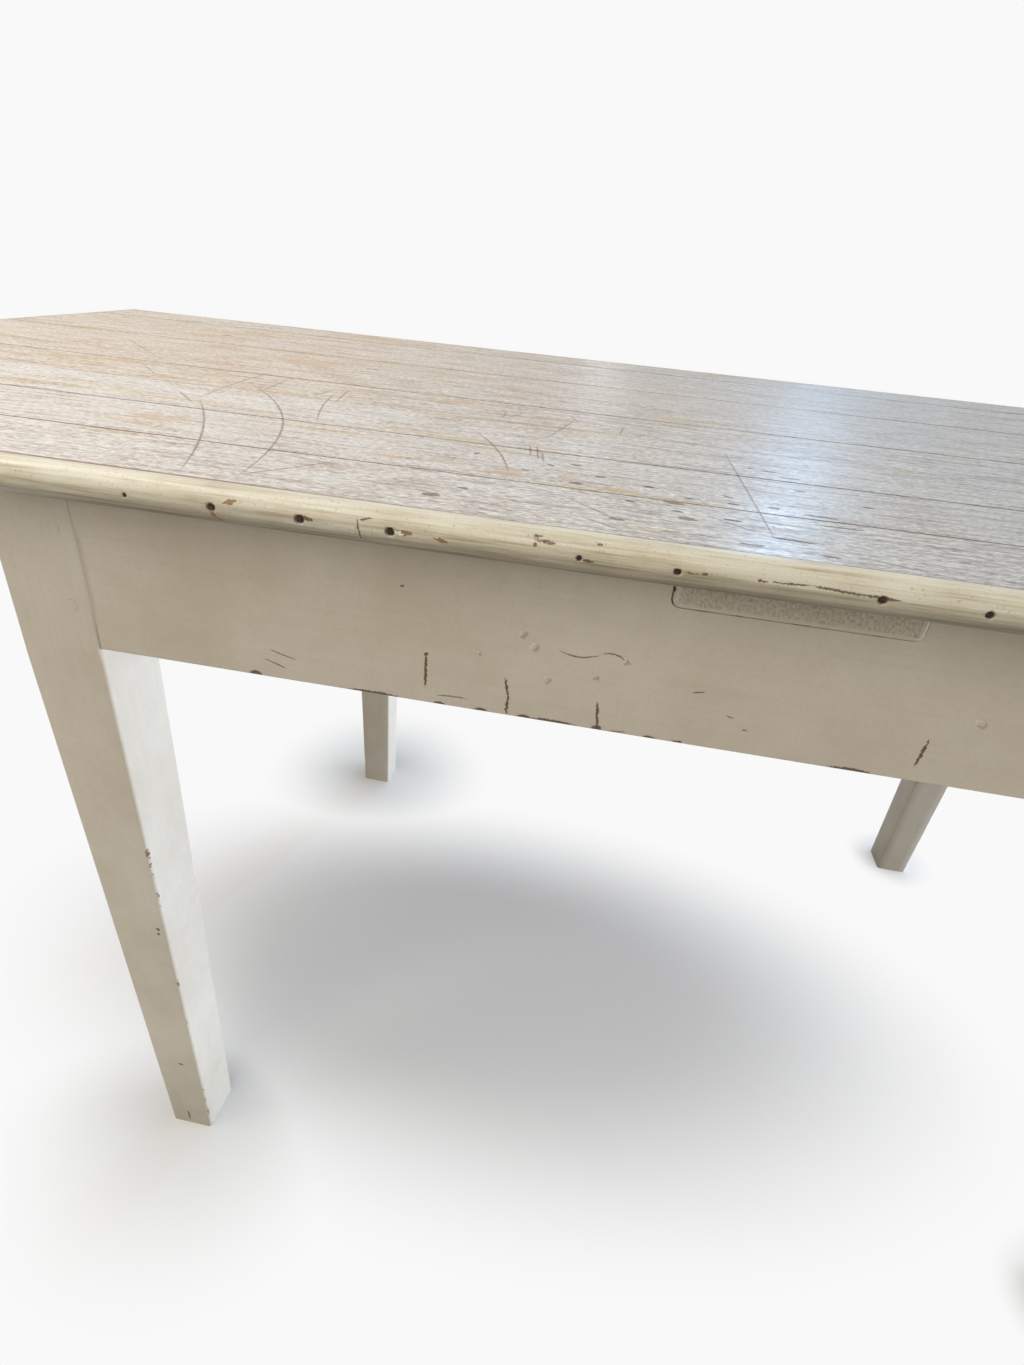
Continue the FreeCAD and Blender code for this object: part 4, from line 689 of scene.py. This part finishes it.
def cream_paint(name, streak):
    """Yellowed cream gloss paint: dirt in lengthwise streaks, and painted shade darkening the lower half.
    """
    look = finish(name)
    tree, mm = look.tree, look.mm
    apart = add(tree, "SeparateXYZ", {0: mm})
    run = add(tree, "VectorMath", {0: mm, 1: streak}, "DIVIDE")
    streaks = add(tree, "TexNoise", {"Vector": run, "Scale": 1.0, "Detail": 4.0, "Roughness": 0.6})
    soil = add(tree, "TexNoise", {"Vector": mm, "Scale": 1 / 45, "Detail": 4.0})
    blended = add(tree, "Math", {0: soil, 1: 0.5, 2: streaks}, "MULTIPLY_ADD")
    tone = add(tree, "ValToRGB", {
        0: blended}, stops=((0.5, "#a69d82"), (0.72, "#d0ccba"), (0.95, "#dfe0d5")))
    # Painted shade: the lower half of the round, facing the floor, is darkened towards the bottom, its edge
    # wandering with the streaks
    low = add(tree, "Math", {0: blended, 1: 9.0, 2: apart.outputs["Z"]}, "MULTIPLY_ADD")
    grime_and_shade = add(tree, "MapRange", {
        "Value": low, "From Min": 756.0, "From Max": 768.0, "To Min": 0.88, "To Max": 0.0})
    colour = add(tree, "Mix", {"Factor": grime_and_shade, "A": tone, "B": "#6c6554"}, data_type="RGBA")
    specks = add(tree, "TexNoise", {"Vector": mm, "Scale": 1 / 1.8, "Detail": 2.0, "Roughness": 0.7})
    specked = add(tree, "MapRange", {"Value": specks, "From Min": 0.6, "From Max": 0.72, "To Max": 0.45})
    colour = add(tree, "Mix", {"Factor": specked, "A": colour, "B": "#857a60"}, data_type="RGBA")
    # Painted highlight: the rim beside the planks is lightened, where the top of the round catches the
    # light
    rim = add(tree, "MapRange", {
        "Value": apart.outputs["Z"], "From Min": 768.6, "From Max": 769.8, "To Max": 0.3})
    colour = add(tree, "Mix", {"Factor": rim, "A": colour, "B": "#ecebdf"}, data_type="RGBA")
    # Dirt and rust have filled the pits over the brads
    pit = add(tree, "Attribute", attribute_name="pit")
    filled = add(tree, "MapRange", {
        "Value": pit.outputs["Fac"], "From Min": 0.1, "From Max": 0.7, "To Max": 0.95})
    rusty = add(tree, "MapRange", {"Value": soil, "From Min": 0.45, "From Max": 0.6})
    filling = add(tree, "Mix", {"Factor": rusty, "A": "#2a211a", "B": "#5c4127"}, data_type="RGBA")
    colour = add(tree, "Mix", {"Factor": filled, "A": colour, "B": filling}, data_type="RGBA")
    sheen = add(tree, "MapRange", {
        "Value": streaks, "From Min": 0.3, "From Max": 0.7, "To Min": 0.46, "To Max": 0.3})
    feed(tree, look.shader, {"Roughness": sheen})
    height = add(tree, "Math", {0: streaks, 1: 0.25}, "MULTIPLY")
    look.colour, look.height = colour, height
    return look


side_cream = cream_paint("yellowed_cream_paint_on_sides", streak=(70.0, 2.4, 2.4))
LIP_FACE, LIP_END = -399.0, 899.0
# Rust runs and ochre chips beside the brads: X, height, turn and half sizes
scarred(side_cream, [
    ((x, LIP_FACE, z), (0, turn, 0), (along, 5.0, tall)) for x, z, turn, along, tall in (
        (-325.0, 756.0, 70, 4.0, 1.4), (-322.0, 752.5, 60, 3.6, 1.0), (-314.0, 763.0, -12, 5.0, 1.4),
        (-216.8, 759.5, 0, 4.6, 1.7), (-197.6, 758.5, 3, 5.0, 0.9), (-145.0, 765.0, -4, 4.2, 0.9),
        (-68.0, 759.6, 0, 4.5, 0.5), (125.0, 756.0, 80, 4.0, 1.3), (424.0, 757.0, 75, 4.5, 1.5),
        (636.0, 762.0, 0, 6.0, 1.3), (-574.0, 757.0, 78, 4.0, 1.3))
], wobble=0.9, shade="#8c6530", depth=0.35, cover=0.9)
# A flake that bares the white ground, beside a brad
scarred(side_cream, [
    ((-220.4, LIP_FACE, 759.4), (0, 12, 0), (3.6, 5.0, 1.2))
], wobble=0.8, shade="#f4f2ec", depth=0.3)
# Dark chips, a bracket-shaped crack and the long split: X, height, turn and half sizes
scarred(side_cream, [
    ((x, LIP_FACE, z), (0, turn, 0), (along, 5.0, tall)) for x, z, turn, along, tall in (
        (-242.0, 758.0, 80, 6.5, 0.6), (-238.0, 764.0, -12, 4.0, 0.5), (-271.0, 760.2, 12, 4.5, 1.2),
        (-147.3, 766.7, 0, 3.6, 0.6), (-141.0, 764.6, 3, 4.0, 0.9), (-148.0, 762.8, 0, 1.0, 0.9),
        (-115.6, 766.8, 0, 2.4, 0.7), (-61.4, 760.0, 0, 1.7, 0.8), (-120.0, 758.2, 6, 3.6, 1.0),
        (-33.0, 760.5, 0, 3.2, 0.7), (-27.0, 760.9, 0, 1.8, 0.5), (-18.0, 761.0, -3, 9.0, 0.5),
        (4.0, 760.8, 3, 15.0, 0.7), (24.0, 760.2, 2, 11.0, 0.8), (208.0, 764.0, 0, 8.0, 0.7),
        (540.0, 761.0, 2, 14.0, 0.7), (-460.0, 763.0, 0, 6.0, 0.9), (-700.0, 760.0, -2, 12.0, 0.6))
], wobble=0.5, shade="#573a1c", depth=0.4, cover=0.85)
laid(side_cream)
end_cream = cream_paint("yellowed_cream_paint_on_ends", streak=(2.4, 70.0, 2.4))
# The ends are chipped too: the end, Y, height, turn and half sizes
scarred(end_cream, [
    ((end * LIP_END, y, z), (turn, 0, 0), (5.0, along, tall)) for end, y, z, turn, along, tall in (
        (1, -193.0, 757.0, 80, 4.0, 1.4), (1, 48.5, 756.5, 80, 4.0, 1.3), (1, 262.0, 763.0, 0, 7.0, 1.2),
        (-1, -145.0, 757.0, 80, 4.0, 1.4), (-1, 121.0, 764.0, 0, 8.0, 1.2),
        (-1, 290.0, 757.0, 80, 4.0, 1.2))
], wobble=0.9, shade="#7d5a2c", depth=0.35, cover=0.9)
laid(end_cream)
for side, half_length, edge, nails, turn, paint in (
        ("front", PLANK_END, PLANK_EDGE, SIDE_NAILS, 0, side_cream),
        ("right", PLANK_EDGE, PLANK_END, END_NAILS, 1, end_cream),
        ("back", PLANK_END, PLANK_EDGE, SIDE_NAILS, 2, side_cream),
        ("left", PLANK_EDGE, PLANK_END, END_NAILS, 3, end_cream)):
    settle(lipping(half_length, edge, nails, turn), f"lip_{side}", paint, "table",
           [f"lipping_{side}"])
dress(["lipping_nails"], rusted_steel)


# Drawers: pine boxes with lapped dovetails at the front, a bottom panel in grooves and a back in housings.
# Only the fronts are painted; the sides and bottoms are bare wood, darkened by hands and linen.
front_paint = greige_paint("greige_paint_on_drawer_fronts", brush=(110.0, 2.4, 2.4))
FRONT_FACE, FRONT_LOW, FRONT_HIGH = 356.0, 649.0, 727.0
KNOB_PLACE, KNOB_LEVEL = 234.0, 688.0
# Chips along the upper and the lower arris: X, height and half sizes
scarred(front_paint, [
    ((x, FRONT_FACE, z), (0, 0, 0), (along, 4.0, tall)) for x, z, along, tall in (
        (-300.0, FRONT_HIGH, 14.0, 1.8), (-180.0, FRONT_HIGH, 10.0, 1.6), (-400.0, FRONT_LOW, 9.0, 1.8),
        (-90.0, FRONT_LOW, 12.0, 1.8), (130.0, FRONT_HIGH, 12.0, 1.8), (320.0, FRONT_HIGH, 16.0, 1.8),
        (210.0, FRONT_LOW, 10.0, 1.8), (402.0, FRONT_LOW, 8.0, 1.8))
], wobble=1.0, shade="#6a5440", depth=0.4, cover=0.85)
# Fingers have soiled the paint round each knob
scarred(front_paint, [
    ((x, FRONT_FACE, KNOB_LEVEL), (0, 0, 0), (46.0, 8.0, 34.0)) for x in (-KNOB_PLACE, KNOB_PLACE)
], wobble=9.0, shade="#9c9079", depth=0.0, cover=0.55)
laid(front_paint)
for drawer in ("drawer_left", "drawer_right"):
    settle(worked(f"{drawer}_front", slices=(20.0, 0.0, 13.0), hollow=0.3), f"{drawer}_front_board",
           front_paint, drawer, [f"{drawer}_front"])
    dress((f"{drawer}_side_left", f"{drawer}_side_right"), pine_along_y)
    dress((f"{drawer}_back", f"{drawer}_bottom"), pine_along_x)


# Knobs: turned pine, one to a drawer, each with a spigot glued through the drawer's front.
# Painted with the front, and worn to a brown patch on the head where fingers pull.
KNOB_FACE, KNOB_STEPS = FRONT_FACE + 24.0, 40
# Radius and distance from the front's face, from the end of the spigot to the middle of the head
KNOB_PROFILE = (
    (0.0, -22.0), (6.0, -22.0), (6.0, 0.0), (10.5, 0.0), (10.5, 1.6), (9.6, 2.8), (7.9, 3.6), (7.3, 6.0),
    (7.6, 8.6), (9.4, 10.6), (13.4, 12.4), (15.9, 14.4), (17.0, 17.2), (16.6, 20.4), (14.6, 23.2),
    (10.6, 25.4), (5.6, 26.6), (0.0, 27.0))
knob_paint = greige_paint("greige_paint_on_knobs", brush=(14.0, 2.0, 14.0))
scarred(knob_paint, [
    ((x, KNOB_FACE, KNOB_LEVEL), (0, 0, 0), (13.0, 5.0, 11.0)) for x in (-KNOB_PLACE, KNOB_PLACE)
], wobble=3.0, shade="#8d7a5e", depth=0.1, cover=0.7)
laid(knob_paint)
for drawer, place in (("drawer_left", -KNOB_PLACE), ("drawer_right", KNOB_PLACE)):
    bm = bmesh.new()
    turned = [
        bm.verts.new(((place + radius) * MM, (FRONT_FACE + out) * MM, KNOB_LEVEL * MM))
        for radius, out in KNOB_PROFILE]
    outline = [bm.edges.new(pair) for pair in zip(turned, turned[1:])]
    bmesh.ops.spin(bm, geom=turned + outline, cent=(place * MM, FRONT_FACE * MM, KNOB_LEVEL * MM),
                   axis=(0.0, 1.0, 0.0), angle=math.tau, steps=KNOB_STEPS, use_merge=True)
    bmesh.ops.remove_doubles(bm, verts=bm.verts, dist=1e-6)
    bmesh.ops.recalc_face_normals(bm, faces=bm.faces)
    settle(bm, f"{drawer}_turned_knob", knob_paint, drawer, [f"{drawer}_knob"],
           crease=40)


# Studio: a pale matt floor that fades into an equally pale background, so that only the shadow shows.
# Three windows and a hanging lamp light the table softly, filled in from the room behind the camera.
BACKGROUND = "#f9f9f9"


def looking(tree):
    """One for rays that the camera sends, also by way of a gloss or a glass, and nought for all others."""
    rays = add(tree, "LightPath")
    seen = add(tree, "Math", {0: rays.outputs["Is Camera Ray"], 1: rays.outputs["Is Glossy Ray"]}, "ADD")
    return add(tree, "Math", {0: seen, 1: rays.outputs["Is Transmission Ray"]}, "ADD", use_clamp=True)


world = bpy.data.worlds.new("studio")
scene.world = world
world.use_nodes = True
tree = world.node_tree
tree.nodes.clear()
seen = looking(tree)
around = add(tree, "Background", {"Color": "#f7f7f7", "Strength": 0.30})
behind = add(tree, "Background", {"Color": BACKGROUND})
shown = add(tree, "MixShader", {0: seen, 1: around, 2: behind})
add(tree, "OutputWorld", {0: shown})

bm = bmesh.new()
FLOOR_RADIUS = 14.0
bmesh.ops.create_circle(bm, cap_ends=True, segments=96, radius=FLOOR_RADIUS)
floor_mesh = bpy.data.meshes.new("floor")
bm.to_mesh(floor_mesh)
bm.free()
floor = bpy.data.objects.new("floor", floor_mesh)
scene.collection.objects.link(floor)
floor_paint = finish("studio_floor")
tree, mm = floor_paint.tree, floor_paint.mm
tree.nodes.remove(floor_paint.shader)
out = tree.nodes["Material Output"]
seen = looking(tree)
# Away from the shadow under the table and from the feet, its own pale light takes over
SHADOW_PLACE, SHADOW_HALF, FOOT_PLACE = (-200.0, -75.0, 0.0), (440.0, 215.0, 1.0), (485.0, 335.0, 0.0)
under = add(tree, "VectorMath", {0: mm, 1: SHADOW_PLACE}, "SUBTRACT")
under = add(tree, "VectorMath", {0: under, 1: SHADOW_HALF}, "DIVIDE")
under = add(tree, "VectorMath", {0: under}, "LENGTH")
feet = add(tree, "VectorMath", {0: mm}, "ABSOLUTE")
feet = add(tree, "VectorMath", {0: feet, 1: FOOT_PLACE}, "DISTANCE")
apart = add(tree, "SeparateXYZ", {0: mm})
# Away from the side window the feet shade more of the floor
reach = add(tree, "MapRange", {
    "Value": apart.outputs["X"], "From Min": -200.0, "From Max": 200.0, "To Min": 230.0, "To Max": 80.0})
feet = add(tree, "MapRange", {
    "Value": feet, "From Min": 10.0, "From Max": reach, "To Min": 0.7, "To Max": 1.75})
nearest = add(tree, "Math", {0: under, 1: feet}, "MINIMUM")
fade = add(tree, "MapRange", {
    "Value": nearest, "From Min": 0.6, "From Max": 1.75}, interpolation_type="SMOOTHSTEP")
share = add(tree, "Math", {0: fade, 1: seen}, "MULTIPLY")
boards = add(tree, "Mix", {"Factor": seen, "A": "#a5977f", "B": "#e8ecef"}, data_type="RGBA")
matt = add(tree, "BsdfDiffuse", {"Color": boards})
pale = add(tree, "Emission", {"Color": BACKGROUND})
ground = add(tree, "MixShader", {0: share, 1: matt, 2: pale})
feed(tree, out, {"Surface": ground})
floor_mesh.materials.append(floor_paint.material)


def lamp(name, place, aim, width, height, power, shade):
    """A soft rectangular lamp that looks at a point."""
    data = bpy.data.lights.new(name, "AREA")
    data.shape = "RECTANGLE"
    data.size = width
    data.size_y = height
    data.energy = power
    data.color = linear(shade)[:3]
    made = bpy.data.objects.new(name, data)
    made.location = place
    made.rotation_euler = (Vector(aim) - Vector(place)).to_track_quat("-Z", "Y").to_euler()
    scene.collection.objects.link(made)
    return made


lamp("hanging_lamp", (-1.4, -0.45, 2.1), (-0.4, -0.15, 0.77), 1.2, 1.2, 21.5, "#fff8ee")
lamp("side_window", (3.2, 0.5, 0.4), (-0.4, 0, 0.4), 2.4, 0.64, 176, "#e4ecfa")
lamp("room_fill", (-0.8, -2.6, 2.5), (-0.3, -0.35, 0.65), 2.4, 2.2, 39.3, "#ffefd8")
lamp("far_window", (0.72, 2.9, 2.2), (0.0, -0.2, 0.77), 0.2, 0.6, 8.4, "#a2d1ff")
# Another lights only the floor, which stays white round the shadow
floor_light = lamp("floor_light", (0.2, 0.55, 3.6), (0.0, 0.0, 0.0), 2.2, 2.2, 37, "#ffffff")
lit_floor = bpy.data.collections.new("lit_floor")
lit_floor.objects.link(floor)
floor_light.light_linking.receiver_collection = lit_floor
lamp("low_window", (-0.28, 3.2, 1.15), (-0.15, 0.1, 0.77), 0.16, 0.3, 0.3, "#f4f8ff")

# Camera: a telephone held low over the near edge, looking down across the table.
# Its place, turn and lens were fitted to the edges, seams and feet in the photo.
FOCAL_PIXELS, PHOTO_HEIGHT, SENSOR_HEIGHT = 719.0, 1365.0, 36.0
CAMERA_PLACE = (-0.1118, -0.7503, 0.8880)
CAMERA_PAN, CAMERA_DIP, CAMERA_ROLL = 6.71, 30.49, 5.56
camera_data = bpy.data.cameras.new("camera")
camera_data.lens = FOCAL_PIXELS * SENSOR_HEIGHT / PHOTO_HEIGHT
camera_data.clip_start = 0.01
camera = bpy.data.objects.new("camera", camera_data)
scene.collection.objects.link(camera)
turn = (Matrix.Rotation(math.radians(CAMERA_PAN), 4, "Z")
        @ Matrix.Rotation(math.radians(90 - CAMERA_DIP), 4, "X")
        @ Matrix.Rotation(math.radians(CAMERA_ROLL), 4, "Z"))
camera.matrix_world = Matrix.Translation(CAMERA_PLACE) @ turn
scene.camera = camera

scene.view_settings.view_transform = "Standard"
